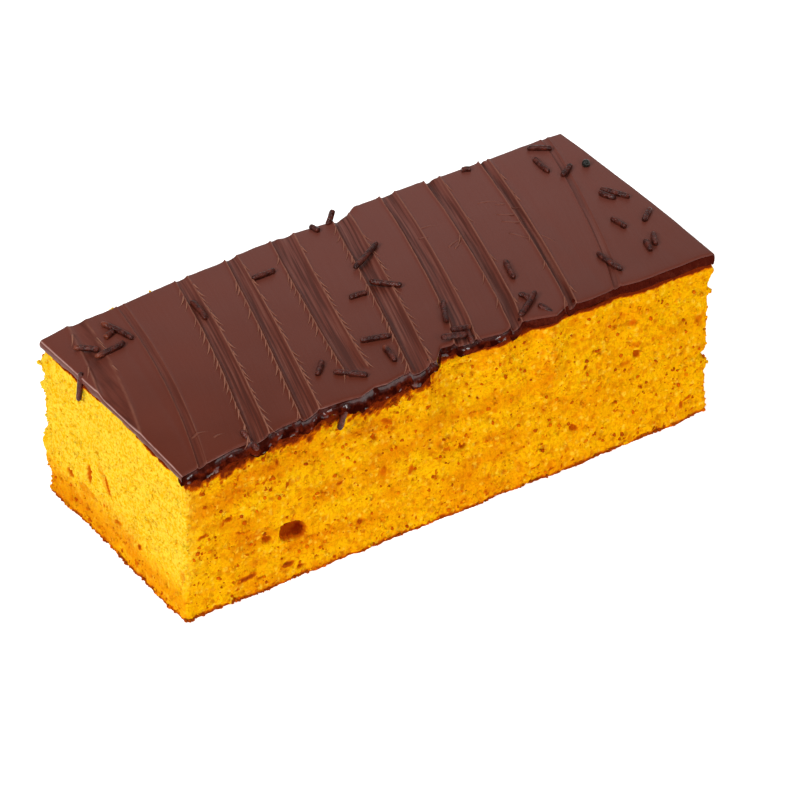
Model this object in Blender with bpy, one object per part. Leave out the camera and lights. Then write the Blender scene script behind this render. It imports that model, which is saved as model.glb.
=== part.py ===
"""A cut slab of carrot cake: yellow sponge under chocolate icing strewn with chocolate sprinkles.

The slab lies along X with its long cut front at -Y. It stands on z = 0, and the origin is under
its middle. The icing was spread with a spatula that left slanting grooves, and it sinks a little
towards the -X end. Every length below is in millimetres, and the meshes are made in metres.
"""

import math

import bmesh
import bpy
import numpy as np
from mathutils import Matrix, Vector, noise

MM = 0.001

# The slab, measured over the icing
LEFT_END = -74.5
RIGHT_END = 75.5
FRONT = -30.6
BACK = 32.4
HEIGHT = 47.8
ICING_THICKNESS = 3.1
GAP = 0.3

# The top is level, then sinks along a parabola towards the left end
SUNKEN_LENGTH = 52.0
SUNKEN_DEPTH_FRONT = 4.5
SUNKEN_DEPTH_BACK = 4.1
LEFT_EDGE_CROWN = 0.8

# The icing's front rim: x, and how far it lies behind the straight front there. It bulges over
# the front left of the middle, is torn back right of it and wavers from there on
RIM_OUTLINE = (
    (-60.0, 0.0),
    (-54.5, -1.1),
    (-48.0, -0.6),
    (-41.5, -0.9),
    (-38.5, -0.4),
    (-31.5, -1.1),
    (-27.0, -2.0),
    (-22.5, -0.7),
    (-19.5, -1.2),
    (-14.0, -0.2),
    (-9.8, -0.7),
    (-4.5, 0.2),
    (-1.0, 3.8),
    (3.0, 3.1),
    (8.5, 1.8),
    (14.3, 0.7),
    (21.9, 1.9),
    (29.3, -0.5),
    (32.9, 1.2),
    (40.1, 0.4),
    (48.5, 1.0),
    (53.5, 0.0),
    (71.5, 0.0),
    (75.5, -0.6),
)

# The icing's back rim: x, and how far it lies in front of the straight back there
BACK_OUTLINE = (
    (-74.5, -0.4),
    (-68.0, -0.5),
    (-62.0, 0.3),
    (-54.0, 1.0),
    (-26.0, 1.1),
    (-20.0, 0.4),
    (-15.0, 0.0),
    (-4.0, 0.1),
    (7.0, 1.2),
    (10.5, 0.5),
    (14.0, -0.9),
    (17.0, -1.5),
    (33.5, -1.5),
    (36.0, -0.7),
    (56.0, -0.6),
    (70.0, -0.6),
    (75.5, -0.2),
)
EDGE_REACH = 14.0
BACK_RISE = (0.3, 0.9)
RIM_ROUNDING = 0.4
RIM_ROUNDING_REACH = 0.9
LIP_WIDTH = 0.9
LIP_DROP_LEFT = 2.4
LIP_DROP_RIGHT = 0.5
LIP_DROP_WAVE = 0.35
LIP_CHANGE = (-8.0, 2.0)
WALL_BULGE = 0.25
RIGHT_BULGE = 0.6
WALL_WAVE = 0.2
WALL_ROWS = (0.35, 0.75)

# Spatula grooves: x at the front and at the back, bow to +X half way, width at the front and at
# the back, depth at the front and at the back, and how far from the front the groove starts
GROOVES = (
    (-85.3, -64.8, 1.8, 8.0, 4.3, 0.5, 0.4, 0.0),
    (-69.1, -53.4, 1.9, 2.4, 2.0, 0.3, 0.25, 0.0),
    (-54.1, -36.4, 1.3, 5.2, 3.4, 0.65, 0.35, 0.0),
    (-40.3, -22.1, 0.7, 5.4, 3.6, 0.8, 0.4, 0.0),
    (-24.3, -7.2, -0.4, 5.8, 6.6, 0.9, 0.45, 7.0),
    (-9.4, 9.4, 0.6, 6.0, 5.5, 0.9, 0.6, 0.0),
    (5.2, 24.3, 0.7, 5.4, 4.5, 0.75, 0.45, 0.0),
    (19.0, 37.0, 0.7, 3.8, 4.4, 1.2, 0.7, 0.0),
    (34.7, 52.2, 0.7, 2.4, 2.9, 1.1, 0.7, 0.0),
    (47.8, 70.5, 1.4, 2.2, 2.0, 0.25, 0.25, 0.0),
)
GROOVE_SKEW = 0.35
GROOVE_RAMP = 1.5
RIDGE_SHARE = 0.42
RIDGE_WIDTH = 0.8
GROOVE_LINES = (-1.0, -0.7, 0.6, 1.0)
RIDGE_SKIRT = 1.3
LAST_CUT = 11.0
ROW_SPACING = 4.5
TYPICAL_GROOVE = GROOVES[5]
BOW_FADE = 8.0

# The sponge
CRUMB_CELL = 2.4
SIDE_INSET = 0.1
SIDE_WAVE = 0.35
CRUMB_RELIEF = 1.5
CRUMB_GRAIN = 5.5
LUMP_SHARE = 0.7
SMALL_LUMP_FINENESS = 1.9
LIP_POCKET = 1.9
LIP_POCKET_SPAN = (0.7, 0.84)
TORN_SPAN = (0.5, 0.84)
TORN_REACH = 6.0
TORN_SLOPE = 0.1
END_HOLLOW = 0.3
LEFT_HOLLOW_SHARE = 0.3
LEFT_POCKET_SHARE = 0.4
TOP_ROWS = 6

# Air holes in the cut faces: the face, the place along it, the height, the width and the height
AIR_HOLES = (
    ("front", -44.5, 14.3, 7.4, 6.2),
    ("front", -51.6, 14.4, 2.8, 2.4),
    ("front", 3.5, 18.7, 2.6, 2.2),
    ("front", 36.0, 10.7, 2.4, 2.0),
    ("front", -22.0, 31.7, 2.6, 2.0),
    ("front", 54.0, 25.7, 2.4, 2.2),
    ("left", 22.0, 11.2, 3.2, 2.8),
    ("left", 13.0, 16.2, 2.2, 6.0),
    ("back", -48.0, 25.2, 4.2, 3.2),
    ("back", -6.0, 13.2, 5.4, 4.0),
    ("back", 41.0, 30.2, 3.6, 3.0),
    ("right", -12.0, 20.2, 4.8, 3.4),
    ("right", 16.0, 31.2, 3.4, 3.0),
)
AIR_HOLE_DEPTH = 0.9
AIR_HOLE_INSET = 0.7
AIR_HOLE_TURN = 1.7
ROUND_AIR_HOLE = 4.0

# Sprinkles lying on the icing: x and y of the middle, heading in degrees from +X, length
SPRINKLE_THICKNESS = 1.45
SPRINKLE_END_THICKNESS = 1.22
SPRINKLE_BEND = 0.35
SPRINKLE_SIDES = 6
SPRINKLE_SINK = 0.25
SPRINKLES = (
    (-59.5, 22.4, 105, 10.5),
    (-68.6, 21.3, 135, 6.1),
    (-64.6, 17.2, 180, 8.2),
    (-61.7, 22.4, 19, 3.0),
    (-39.9, 17.6, 83, 8.2),
    (-19.8, 20.5, 1, 6.6),
    (1.0, 30.2, 102, 3.1),
    (4.7, 13.5, 30, 12.4),
    (2.4, 1.4, 128, 8.2),
    (-5.9, 0.7, 172, 4.7),
    (-29.5, -18.8, 45, 5.6),
    (-24.8, -24.8, 137, 8.2),
    (-12.3, -16.3, 162, 7.5),
    (-12.8, -23.2, 81, 6.6),
    (7.2, -16.6, 61, 9.4),
    (6.6, -24.0, 169, 5.3),
    (3.2, -26.2, 168, 6.6),
    (7.2, -26.9, 70, 5.2),
    (30.2, -10.2, 71, 7.8),
    (25.3, -24.7, 34, 10.4),
    (26.5, -21.5, 104, 3.1),
    (51.9, -20.9, 95, 9.2),
    (63.4, -8.6, 98, 5.2),
    (70.3, 2.4, 120, 8.0),
    (68.2, 2.7, 113, 4.8),
    (71.2, -9.6, 38, 5.6),
    (63.6, -20.4, 73, 4.5),
    (66.6, -19.0, 61, 5.0),
    (66.3, 28.7, 146, 6.2),
    (62.5, 22.5, 86, 7.2),
    (66.2, 17.1, 31, 5.4),
    (46.0, 31.2, 159, 2.4),
)

# Sprinkles that hang over an edge or stand up: both ends
HANGING_SPRINKLES = (
    ((-74.0, 14.7, 44.8), (-75.8, 13.3, 38.0)),
    ((-30.4, -31.6, 45.4), (-32.7, -31.9, 39.6)),
    ((-57.0, -28.1, 47.2), (-55.3, -32.6, 43.5)),
    ((27.4, -26.1, 48.3), (29.6, -30.6, 46.7)),
    ((5.0, 30.6, 47.2), (7.0, 31.2, 50.9)),
)
SUGAR_BALL = (71.9, 16.8)
SUGAR_BALL_WIDTH = 2.1
SUGAR_BALL_RISE = 0.3
SUGAR_BALL_FACES = (7, 5)

# Uneven edges and faces are sums of plane waves of these lengths, each with a seed of its own;
# some are finer than the lengths by a factor
WAVE_LENGTHS = (43.0, 29.0, 19.0, 13.0, 9.0)
WAVE_SCALE = 16.0
LIP_SEED = 11
LIP_FINENESS = 2.5
WALL_SEED = 13
WALL_FINENESS = (3.0, 9.0)
FRONT_SEED, BACK_SEED, LEFT_SEED, RIGHT_SEED = 21, 22, 23, 24
BEND_SEED = 3

SPONGE_COLOR = (0.83, 0.33, 0.004, 1.0)
ICING_COLOR = (0.145, 0.047, 0.032, 1.0)
SMOOTH_ANGLE = 40.0


def smooth_step(low, high, value):
    """0 below low, 1 above high, and an S-shaped cubic between them."""
    share = np.clip((value - low) / (high - low), 0.0, 1.0)
    return share * share * (3.0 - 2.0 * share)


def across(y):
    """How far y lies from the front edge, 0, to the back edge, 1."""
    return np.clip((y - FRONT) / (BACK - FRONT), 0.0, 1.0)


def waves(a, b, seed):
    """Sum of five plane waves in seeded directions, within about -1 to 1."""
    draw = np.random.default_rng(seed)
    total = 0.0
    for length in WAVE_LENGTHS:
        turn, phase = draw.uniform(0.0, 2.0 * math.pi, 2)
        total = total + length**0.6 * np.sin(
            2.0 * math.pi * (a * math.cos(turn) + b * math.sin(turn)) / length + phase
        )
    return total / WAVE_SCALE


def icing_level(x, y):
    """Height of the spread icing before the grooves: level, then sinking as a parabola."""
    sunken = np.clip(1.0 - (x - LEFT_END) / SUNKEN_LENGTH, 0.0, None) ** 2
    depth = SUNKEN_DEPTH_FRONT + (SUNKEN_DEPTH_BACK - SUNKEN_DEPTH_FRONT) * across(y)
    crown = LEFT_EDGE_CROWN * np.sin(math.pi * across(y))
    return HEIGHT - (depth - crown) * sunken


def groove_marks(x, y):
    """What the spatula did to the level: flat-bottomed channels between two raised ridges.

    Both are skewed, so that a groove is deepest, and its ridge highest, on its -X side.
    """
    share = across(y)
    marks = 0.0
    for row in GROOVES:
        front_x, back_x, bow, front_width, back_width, front_depth, back_depth, start = row
        middle = front_x + (back_x - front_x) * share + 4.0 * bow * share * (1.0 - share)
        half = 0.5 * (front_width + (back_width - front_width) * share)
        side = (x - middle) / half
        channel = np.clip(1.0 - side**4, 0.0, None)
        ridge = np.exp(-((((np.abs(side) - 1.0) * half) / RIDGE_WIDTH) ** 2))
        depth = front_depth + (back_depth - front_depth) * share
        if start:
            depth = depth * smooth_step(start - GROOVE_RAMP, start + GROOVE_RAMP, y - FRONT)
        skew = 1.0 - GROOVE_SKEW * np.clip(side, -1.0, 1.0)
        marks = marks + depth * skew * (RIDGE_SHARE * ridge - channel)
    return marks


def icing_top(x, y):
    """Height of the icing's surface, rounded off towards its four edges."""
    to_edge = np.minimum(
        np.minimum(x - LEFT_END, RIGHT_END - x), np.minimum(y - FRONT, BACK - y)
    )
    rounding = RIM_ROUNDING * np.exp(-np.clip(to_edge, 0.0, None) / RIM_ROUNDING_REACH)
    return icing_level(x, y) + groove_marks(x, y) - rounding


def right_bulge(y):
    """How far the right end stands out half way between the front and the back."""
    return RIGHT_BULGE * np.sin(math.pi * across(y))


def rim_shift(x):
    """How far the icing's front rim lies behind the straight front, less than 0 where it bulges."""
    return np.interp(x, *zip(*RIM_OUTLINE))


def torn_sponge(x):
    """How far the sponge's front edge lies back where the rim is torn: a hull of parabolas over it."""
    reaches = np.linspace(-TORN_REACH, TORN_REACH, 13)
    return np.max([rim_shift(x + reach) - TORN_SLOPE * reach**2 for reach in reaches], axis=0)


def back_shift(x):
    """How far the icing's back rim lies in front of the straight back."""
    return np.interp(x, *zip(*BACK_OUTLINE))


def lip_drop(x):
    """How far the icing hangs down over the front face, below its own thickness."""
    change = smooth_step(*LIP_CHANGE, x)
    drop = LIP_DROP_LEFT + (LIP_DROP_RIGHT - LIP_DROP_LEFT) * change
    return drop * (1.0 + LIP_DROP_WAVE * waves(x * LIP_FINENESS, 0.0 * x, LIP_SEED))


def sheared_to_rims(x, y):
    """y moved with the front and back rims: fully at a rim, fading out over EDGE_REACH."""
    near_front = 1.0 - smooth_step(0.0, EDGE_REACH, y - FRONT)
    near_back = 1.0 - smooth_step(0.0, EDGE_REACH, BACK - y)
    return y + near_front * rim_shift(x) - near_back * back_shift(x)


def collection_named(name):
    """A new collection in the scene."""
    made = bpy.data.collections.new(name)
    bpy.context.scene.collection.children.link(made)
    return made


def finish_material(name, color, roughness):
    """A plain Principled material."""
    material = bpy.data.materials.new(name)
    material.use_nodes = True
    shader = material.node_tree.nodes["Principled BSDF"]
    shader.inputs["Base Color"].default_value = color
    shader.inputs["Roughness"].default_value = roughness
    shader.inputs["Metallic"].default_value = 0.0
    return material


def object_from(mesh_builder, name, collection, material=None):
    """Turns a bmesh in millimetres into an object in metres and frees the bmesh."""
    bmesh.ops.scale(mesh_builder, vec=(MM, MM, MM), verts=mesh_builder.verts)
    mesh = bpy.data.meshes.new(name)
    mesh_builder.to_mesh(mesh)
    mesh_builder.free()
    made = bpy.data.objects.new(name, mesh)
    if material:
        mesh.materials.append(material)
    collection.objects.link(made)
    return made


def box(low, high):
    """A bmesh box between two corners."""
    made = bmesh.new()
    bmesh.ops.create_cube(made, size=1.0)
    size = [b - a for a, b in zip(low, high)]
    middle = [(a + b) / 2.0 for a, b in zip(low, high)]
    bmesh.ops.scale(made, vec=size, verts=made.verts)
    bmesh.ops.translate(made, vec=middle, verts=made.verts)
    return made


def cut(solid, point, normal, faces=None):
    """Cuts new edges where a plane crosses the given faces, or all of them."""
    chosen = set(solid.faces if faces is None else faces)
    edges = {edge for face in chosen for edge in face.edges}
    points = {vert for face in chosen for vert in face.verts}
    geometry = [*points, *edges, *chosen]
    bmesh.ops.bisect_plane(
        solid, geom=geometry, plane_co=point, plane_no=normal, dist=1e-5
    )


def facing(solid, axis, sign=0):
    """The faces of a box whose normal lies along an axis, on one side or on both."""
    solid.normal_update()
    return [
        face
        for face in solid.faces
        if abs(face.normal[axis]) > 0.9 and (not sign or face.normal[axis] * sign > 0)
    ]


def steps(low, high, spacing):
    """Evenly spaced places between two ends, without the ends."""
    count = max(1, round((high - low) / spacing))
    return [low + (high - low) * i / count for i in range(1, count)]


def coordinates(solid):
    """The bmesh's points as an array."""
    return np.array([vert.co[:] for vert in solid.verts], dtype=float)


def move_to(solid, places):
    """Puts the bmesh's points where an array says."""
    for vert, place in zip(solid.verts, places):
        vert.co = place


def groove_cut_lines():
    """Front and back x of each column cut: over every groove, and half way between two grooves."""
    lines = []
    for front_x, back_x, _, front_width, back_width, *_ in GROOVES:
        offsets = [(side * front_width / 2.0, side * back_width / 2.0) for side in GROOVE_LINES]
        offsets.insert(0, (-front_width / 2.0 - RIDGE_SKIRT, -back_width / 2.0 - RIDGE_SKIRT))
        offsets.append((front_width / 2.0 + RIDGE_SKIRT, back_width / 2.0 + RIDGE_SKIRT))
        lines += [(front_x + front, back_x + back) for front, back in offsets]
    between = [
        ((a[0] + b[0]) / 2.0, (a[1] + b[1]) / 2.0) for a, b in zip(GROOVES, GROOVES[1:])
    ]
    last_front, last_back = GROOVES[-1][:2]
    return lines + between + [(last_front + LAST_CUT, last_back + LAST_CUT)]


def bowed(x, y):
    """x moved along with the grooves' bow, by none at the two ends."""
    share = across(y)
    straight = x - (TYPICAL_GROOVE[1] - TYPICAL_GROOVE[0]) * share
    bow = np.interp(straight, [groove[0] for groove in GROOVES], [groove[2] for groove in GROOVES])
    clear = smooth_step(0.0, BOW_FADE, np.minimum(x - LEFT_END, RIGHT_END - x))
    return x + 4.0 * bow * share * (1.0 - share) * clear


def spread_icing(collection, material):
    """A sheet cut along the grooves, its top worked by the spatula and its rims let down."""
    sheet = box((LEFT_END, FRONT, 0.0), (RIGHT_END, BACK, 1.0))
    for front_x, back_x in groove_cut_lines():
        normal = (BACK - FRONT, front_x - back_x, 0.0)
        cut(sheet, (front_x, FRONT, 0.5), normal)
    for y in [FRONT + LIP_WIDTH, *steps(FRONT, BACK, ROW_SPACING), BACK - LIP_WIDTH]:
        cut(sheet, (0.0, y, 0.5), (0.0, 1.0, 0.0), facing(sheet, 2, 1))
    for y in [FRONT + LIP_WIDTH, *steps(FRONT, BACK, (BACK - FRONT) / TOP_ROWS)]:
        cut(sheet, (0.0, y, 0.5), (0.0, 1.0, 0.0), facing(sheet, 2, -1))
    for share in WALL_ROWS:
        cut(sheet, (0.0, 0.0, share), (0.0, 0.0, 1.0))

    points = coordinates(sheet)
    x, y, share = points.T
    at_front = y < FRONT + 0.01
    at_back = y > BACK - 0.01
    at_left = x < LEFT_END + 0.01
    at_right = x > RIGHT_END - 0.01
    along = bowed(x, y)
    top = icing_top(along, y)
    under = icing_level(along, y) - ICING_THICKNESS - at_front * lip_drop(x)
    plump = WALL_BULGE * np.sin(math.pi * share)
    finer_y, finer_share = WALL_FINENESS
    ragged = WALL_WAVE * (waves(y * finer_y, share * finer_share, WALL_SEED) - 1.0)
    new_x = along + (plump + ragged) * (1.0 * at_right - at_left) + right_bulge(y) * at_right
    new_y = sheared_to_rims(x, y) + plump * (1.0 * at_back - at_front)
    move_to(sheet, np.column_stack([new_x, new_y, under + share * (top - under)]))
    return object_from(sheet, "chocolate_icing", collection, material)


def side_insets(x, y, z):
    """How far the sponge's cut faces lie inside the slab's straight ones: front, back and ends."""
    height = np.clip(z / (HEIGHT - ICING_THICKNESS), 0.0, 1.0)
    hollow = END_HOLLOW * np.sin(math.pi * height)
    under_lip = LIP_POCKET * smooth_step(*LIP_POCKET_SPAN, height)
    torn = np.clip(torn_sponge(x), 0.0, None) * smooth_step(*TORN_SPAN, height)
    short = np.clip(back_shift(x), 0.0, None) * smooth_step(*BACK_RISE, height)
    front = SIDE_INSET + SIDE_WAVE * waves(x, z, FRONT_SEED) + under_lip + torn
    back = SIDE_INSET + SIDE_WAVE * waves(x, z, BACK_SEED) + short
    left = SIDE_INSET + SIDE_WAVE * waves(y, z, LEFT_SEED)
    left = left + LEFT_HOLLOW_SHARE * hollow + LEFT_POCKET_SHARE * under_lip
    right = SIDE_INSET + SIDE_WAVE * waves(y, z, RIGHT_SEED) + hollow - right_bulge(y)
    return front, back, left, right


def crumb_depth(points):
    """Depth of the torn crumb at each point: rounded lumps with dips between them, 0 to 1."""
    depths = []
    for point in points:
        place = Vector(point) / CRUMB_GRAIN
        to_lump = noise.voronoi(place)[0][0]
        to_small_lump = noise.voronoi(place * SMALL_LUMP_FINENESS)[0][0]
        depths.append(LUMP_SHARE * to_lump + (1.0 - LUMP_SHARE) * to_small_lump)
    return np.clip(np.array(depths), 0.0, 1.0)


def bake_sponge(collection, material):
    """A block cut into small cells, its sides displaced as soft cake is by the knife."""
    block = box((LEFT_END, FRONT, 0.0), (RIGHT_END, BACK, 1.0))
    for x in steps(LEFT_END, RIGHT_END, CRUMB_CELL):
        cut(block, (x, 0.0, 0.5), (1.0, 0.0, 0.0))
    for y in steps(FRONT, BACK, CRUMB_CELL):
        cut(block, (0.0, y, 0.5), (0.0, 1.0, 0.0), facing(block, 0))
    for y in steps(FRONT, BACK, (BACK - FRONT) / TOP_ROWS):
        cut(block, (0.0, y, 0.5), (0.0, 1.0, 0.0), facing(block, 2, 1))
    for share in steps(0.0, 1.0, CRUMB_CELL / (HEIGHT - ICING_THICKNESS)):
        cut(block, (0.0, 0.0, share), (0.0, 0.0, 1.0), facing(block, 0) + facing(block, 1))
    bmesh.ops.dissolve_faces(block, faces=facing(block, 2, -1), use_verts=False)

    points = coordinates(block)
    x, y, share = points.T
    at_front = y < FRONT + 0.01
    at_back = y > BACK - 0.01
    at_left = x < LEFT_END + 0.01
    at_right = x > RIGHT_END - 0.01
    z = share * (icing_level(x, y) - ICING_THICKNESS - GAP)
    front, back, left, right = side_insets(x, y, z)
    depth = CRUMB_RELIEF * crumb_depth(np.column_stack([x, y, z])) * (share < 0.999)
    new_x = x + at_left * (left + depth) - at_right * (right + depth)
    new_y = y + at_front * (front + depth) - at_back * (back + depth)
    move_to(block, np.column_stack([new_x, new_y, z]))
    return object_from(block, "carrot_sponge", collection, material)


def air_hole(number, face, along, height, width, tall, collection):
    """A flattened ball that cuts one air hole into one of the sponge's faces."""
    bubble = bmesh.new()
    rounds = 2 if width > ROUND_AIR_HOLE else 1
    bmesh.ops.create_icosphere(bubble, subdivisions=rounds, radius=0.5)
    turn = Matrix.Rotation(number * AIR_HOLE_TURN, 3, "Y")
    bmesh.ops.rotate(bubble, matrix=turn, verts=bubble.verts)
    depth = AIR_HOLE_DEPTH * min(width, tall)
    near_y = FRONT + AIR_HOLE_INSET if face == "front" else BACK - AIR_HOLE_INSET
    near_x = LEFT_END + AIR_HOLE_INSET if face == "left" else RIGHT_END - AIR_HOLE_INSET
    if face in ("front", "back"):
        size = (width, depth, tall)
        place = (along, near_y, height)
    else:
        size = (depth, width, tall)
        place = (near_x, along, height)
    bmesh.ops.scale(bubble, vec=size, verts=bubble.verts)
    bmesh.ops.translate(bubble, vec=place, verts=bubble.verts)
    cutter = object_from(bubble, f"air_hole_{number}", collection)
    cutter.hide_render = True
    cutter.display_type = "WIRE"
    return cutter


def sprinkle(start, end, bend, name, collection):
    """A blunt rod between two points, bent a little in the middle and thinner at its ends."""
    start, end = Vector(start), Vector(end)
    length = (end - start).length
    rod = bmesh.new()
    bmesh.ops.create_cone(
        rod,
        cap_ends=True,
        segments=SPRINKLE_SIDES,
        radius1=SPRINKLE_END_THICKNESS / 2.0,
        radius2=SPRINKLE_END_THICKNESS / 2.0,
        depth=length,
    )
    cut(rod, (0.0, 0.0, 0.0), (0.0, 0.0, 1.0))
    for vert in rod.verts:
        if abs(vert.co.z) < 0.01:
            vert.co.xy *= SPRINKLE_THICKNESS / SPRINKLE_END_THICKNESS
            vert.co.x += bend
    turn = (end - start).to_track_quat("Z", "Y").to_matrix()
    bmesh.ops.rotate(rod, matrix=turn, verts=rod.verts)
    bmesh.ops.translate(rod, vec=(start + end) / 2.0, verts=rod.verts)
    return object_from(rod, name, collection)


def resting_line(x, y, heading, length):
    """Both ends of a rod that lies on the icing, raised until it sinks in nowhere too far."""
    half = 0.5 * length * np.array([math.cos(math.radians(heading)), math.sin(math.radians(heading))])
    share = np.linspace(-1.0, 1.0, 9)
    under = icing_top(x + share * half[0], y + share * half[1])
    slope = (under[-2:].mean() - under[:2].mean()) / 2.0
    raise_by = np.max(under - slope * share) + SPRINKLE_THICKNESS / 2.0 - SPRINKLE_SINK
    return [
        (x + side * half[0], y + side * half[1], raise_by + side * slope) for side in (-1.0, 1.0)
    ]


def strew_sprinkles(collection):
    """Every sprinkle as a rod of its own, and the one round sugar ball."""
    draw = np.random.default_rng(BEND_SEED)
    rods = [(*resting_line(*row), draw.uniform(-SPRINKLE_BEND, SPRINKLE_BEND)) for row in SPRINKLES]
    rods += [(start, end, 0.0) for start, end in HANGING_SPRINKLES]
    for number, rod in enumerate(rods):
        sprinkle(*rod, f"sprinkle_{number}", collection)
    ball = bmesh.new()
    around, rows = SUGAR_BALL_FACES
    bmesh.ops.create_uvsphere(
        ball, u_segments=around, v_segments=rows, radius=SUGAR_BALL_WIDTH / 2.0
    )
    x, y = SUGAR_BALL
    height = float(icing_top(np.array(x), np.array(y))) + SUGAR_BALL_RISE * SUGAR_BALL_WIDTH
    bmesh.ops.translate(ball, vec=(x, y, height), verts=ball.verts)
    object_from(ball, "sugar_ball", collection)


def apply_modifiers(target):
    """Replaces the object's mesh by what its modifiers make of it."""
    graph = bpy.context.evaluated_depsgraph_get()
    plain = target.data
    target.data = bpy.data.meshes.new_from_object(target.evaluated_get(graph), depsgraph=graph)
    target.modifiers.clear()
    bpy.data.meshes.remove(plain)


def fuse_sprinkles(icing, strewn):
    """One union of the icing with all the sprinkles, which are removed after it."""
    union = icing.modifiers.new("sprinkles", "BOOLEAN")
    union.operation = "UNION"
    union.operand_type = "COLLECTION"
    union.collection = strewn
    union.solver = "MANIFOLD"
    apply_modifiers(icing)
    for piece in list(strewn.objects):
        bpy.data.objects.remove(piece)
    bpy.data.collections.remove(strewn)


def main():
    for old in list(bpy.data.objects):
        bpy.data.objects.remove(old)
    cake = collection_named("carrot_cake")
    cutters = collection_named("cutters")
    strewn = collection_named("sprinkles")

    sponge = bake_sponge(cake, finish_material("sponge", SPONGE_COLOR, 0.85))
    for number, hole in enumerate(AIR_HOLES):
        air_hole(number, *hole, cutters)
    holes = sponge.modifiers.new("air holes", "BOOLEAN")
    holes.operation = "DIFFERENCE"
    holes.operand_type = "COLLECTION"
    holes.collection = cutters
    holes.solver = "MANIFOLD"

    icing = spread_icing(cake, finish_material("chocolate", ICING_COLOR, 0.42))
    strew_sprinkles(strewn)
    fuse_sprinkles(icing, strewn)
    for piece in (sponge, icing):
        piece.data.shade_smooth()
        piece.data.set_sharp_from_angle(angle=math.radians(SMOOTH_ANGLE))


main()
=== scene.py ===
"""The looks of a cut slab of carrot cake: torn yellow crumb, grooved chocolate icing and sprinkles.

The slab lies along X with its long cut front at -Y, and it stands on z = 0. Lengths are in
millimetres until a mesh is made. Every piece is worked out as whole arrays of points: the sponge is
a profile carried round the slab, the icing a sheet whose columns follow the spatula, and the lip,
barbs and sprinkles are tubes along paths.
"""

import itertools
import math

import bpy
import numpy as np
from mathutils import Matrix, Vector


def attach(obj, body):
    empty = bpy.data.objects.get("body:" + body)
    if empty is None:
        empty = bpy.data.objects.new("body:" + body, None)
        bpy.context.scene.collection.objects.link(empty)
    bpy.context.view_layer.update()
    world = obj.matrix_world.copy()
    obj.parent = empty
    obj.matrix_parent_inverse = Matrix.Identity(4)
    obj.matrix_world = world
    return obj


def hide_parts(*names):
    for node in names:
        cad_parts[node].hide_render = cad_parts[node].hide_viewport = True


MM = 0.001

# The slab, measured over the icing, as its solids have it. The icing is thinner at its left end.
LEFT_END = -74.5
RIGHT_END = 75.5
FRONT = -30.6
BACK = 32.4
HEIGHT = 47.8
MIDDLE = ((LEFT_END + RIGHT_END) / 2.0, (FRONT + BACK) / 2.0)
ICING_THICKNESS = 3.1
THIN_LEFT = 0.7
THIN_LEFT_REACH = 4.0

# The top is level, then sinks along a parabola towards the left end
SUNKEN_LENGTH = 52.0
SUNKEN_DEPTH_FRONT = 4.5
SUNKEN_DEPTH_BACK = 4.1
LEFT_EDGE_CROWN = 0.8

# The icing's front rim: x, and how far it lies behind the straight front there
RIM_OUTLINE = (
    (-60.0, 0.0),
    (-54.5, -1.1),
    (-48.0, -0.6),
    (-41.5, -0.9),
    (-38.5, -0.4),
    (-31.5, -1.1),
    (-27.0, -2.0),
    (-22.5, -0.7),
    (-19.5, -1.2),
    (-14.0, -0.2),
    (-9.8, -0.7),
    (-4.5, 0.2),
    (-1.0, 3.8),
    (3.0, 3.1),
    (8.5, 1.8),
    (14.3, 0.7),
    (21.9, 1.9),
    (29.3, -0.5),
    (32.9, 1.2),
    (40.1, 0.4),
    (48.5, 1.0),
    (53.5, 0.0),
    (71.5, 0.0),
    (75.5, -0.6),
)

# The icing's back rim: x, and how far it lies in front of the straight back there
BACK_OUTLINE = (
    (-74.5, -0.4),
    (-68.0, -0.5),
    (-62.0, 0.3),
    (-54.0, 1.0),
    (-26.0, 1.1),
    (-20.0, 0.4),
    (-15.0, 0.0),
    (-4.0, 0.1),
    (7.0, 1.2),
    (10.5, 0.5),
    (14.0, -0.9),
    (17.0, -1.5),
    (33.5, -1.5),
    (36.0, -0.7),
    (56.0, -0.6),
    (70.0, -0.6),
    (75.5, -0.2),
)

# How far inwards a rim's outline still bends the icing, how plump and wavy its walls are, and how
# far the front one is tucked in behind the lip
EDGE_REACH = 14.0
WALL_BULGE = 0.25
RIGHT_BULGE = 0.6
WALL_WAVE = 0.2
FRONT_TUCK = 0.5

# Spatula grooves: x at the front and at the back, bow to +X half way, width at the front and at
# the back, depth at the front and at the back, and how far from the front the groove starts
GROOVES = (
    (-85.3, -64.8, 1.8, 8.0, 4.3, 0.5, 0.4, 0.0),
    (-69.1, -53.4, 1.9, 2.4, 2.0, 0.3, 0.25, 0.0),
    (-54.1, -36.4, 1.3, 5.2, 3.4, 0.65, 0.35, 0.0),
    (-40.3, -22.1, 0.7, 5.4, 3.6, 0.8, 0.4, 0.0),
    (-24.3, -7.2, -0.4, 5.8, 6.6, 0.9, 0.45, 7.0),
    (-9.4, 9.4, 0.6, 6.0, 5.5, 0.9, 0.6, 0.0),
    (5.2, 24.3, 0.7, 5.4, 4.5, 0.75, 0.45, 0.0),
    (19.0, 37.0, 0.7, 3.8, 4.4, 1.2, 0.7, 0.0),
    (34.7, 52.2, 0.7, 2.4, 2.9, 1.1, 0.7, 0.0),
    (47.8, 70.5, 1.4, 2.2, 2.0, 0.25, 0.25, 0.0),
)
GROOVE_RAMP = 1.5
GROOVE_SKEW = 0.35
RIDGE_SHARE = 0.42
RIDGE_WIDTH = 0.8

# The icing's rims: how much and how far in they are rounded, and the width of their painted highlight
# lines
RIM_ROUNDING = 0.4
RIM_ROUNDING_REACH = 0.9
RIM_CORNER = 0.45
RIM_LINE_LEFT = 0.17
RIM_LINE_FRONT = 0.16

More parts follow.
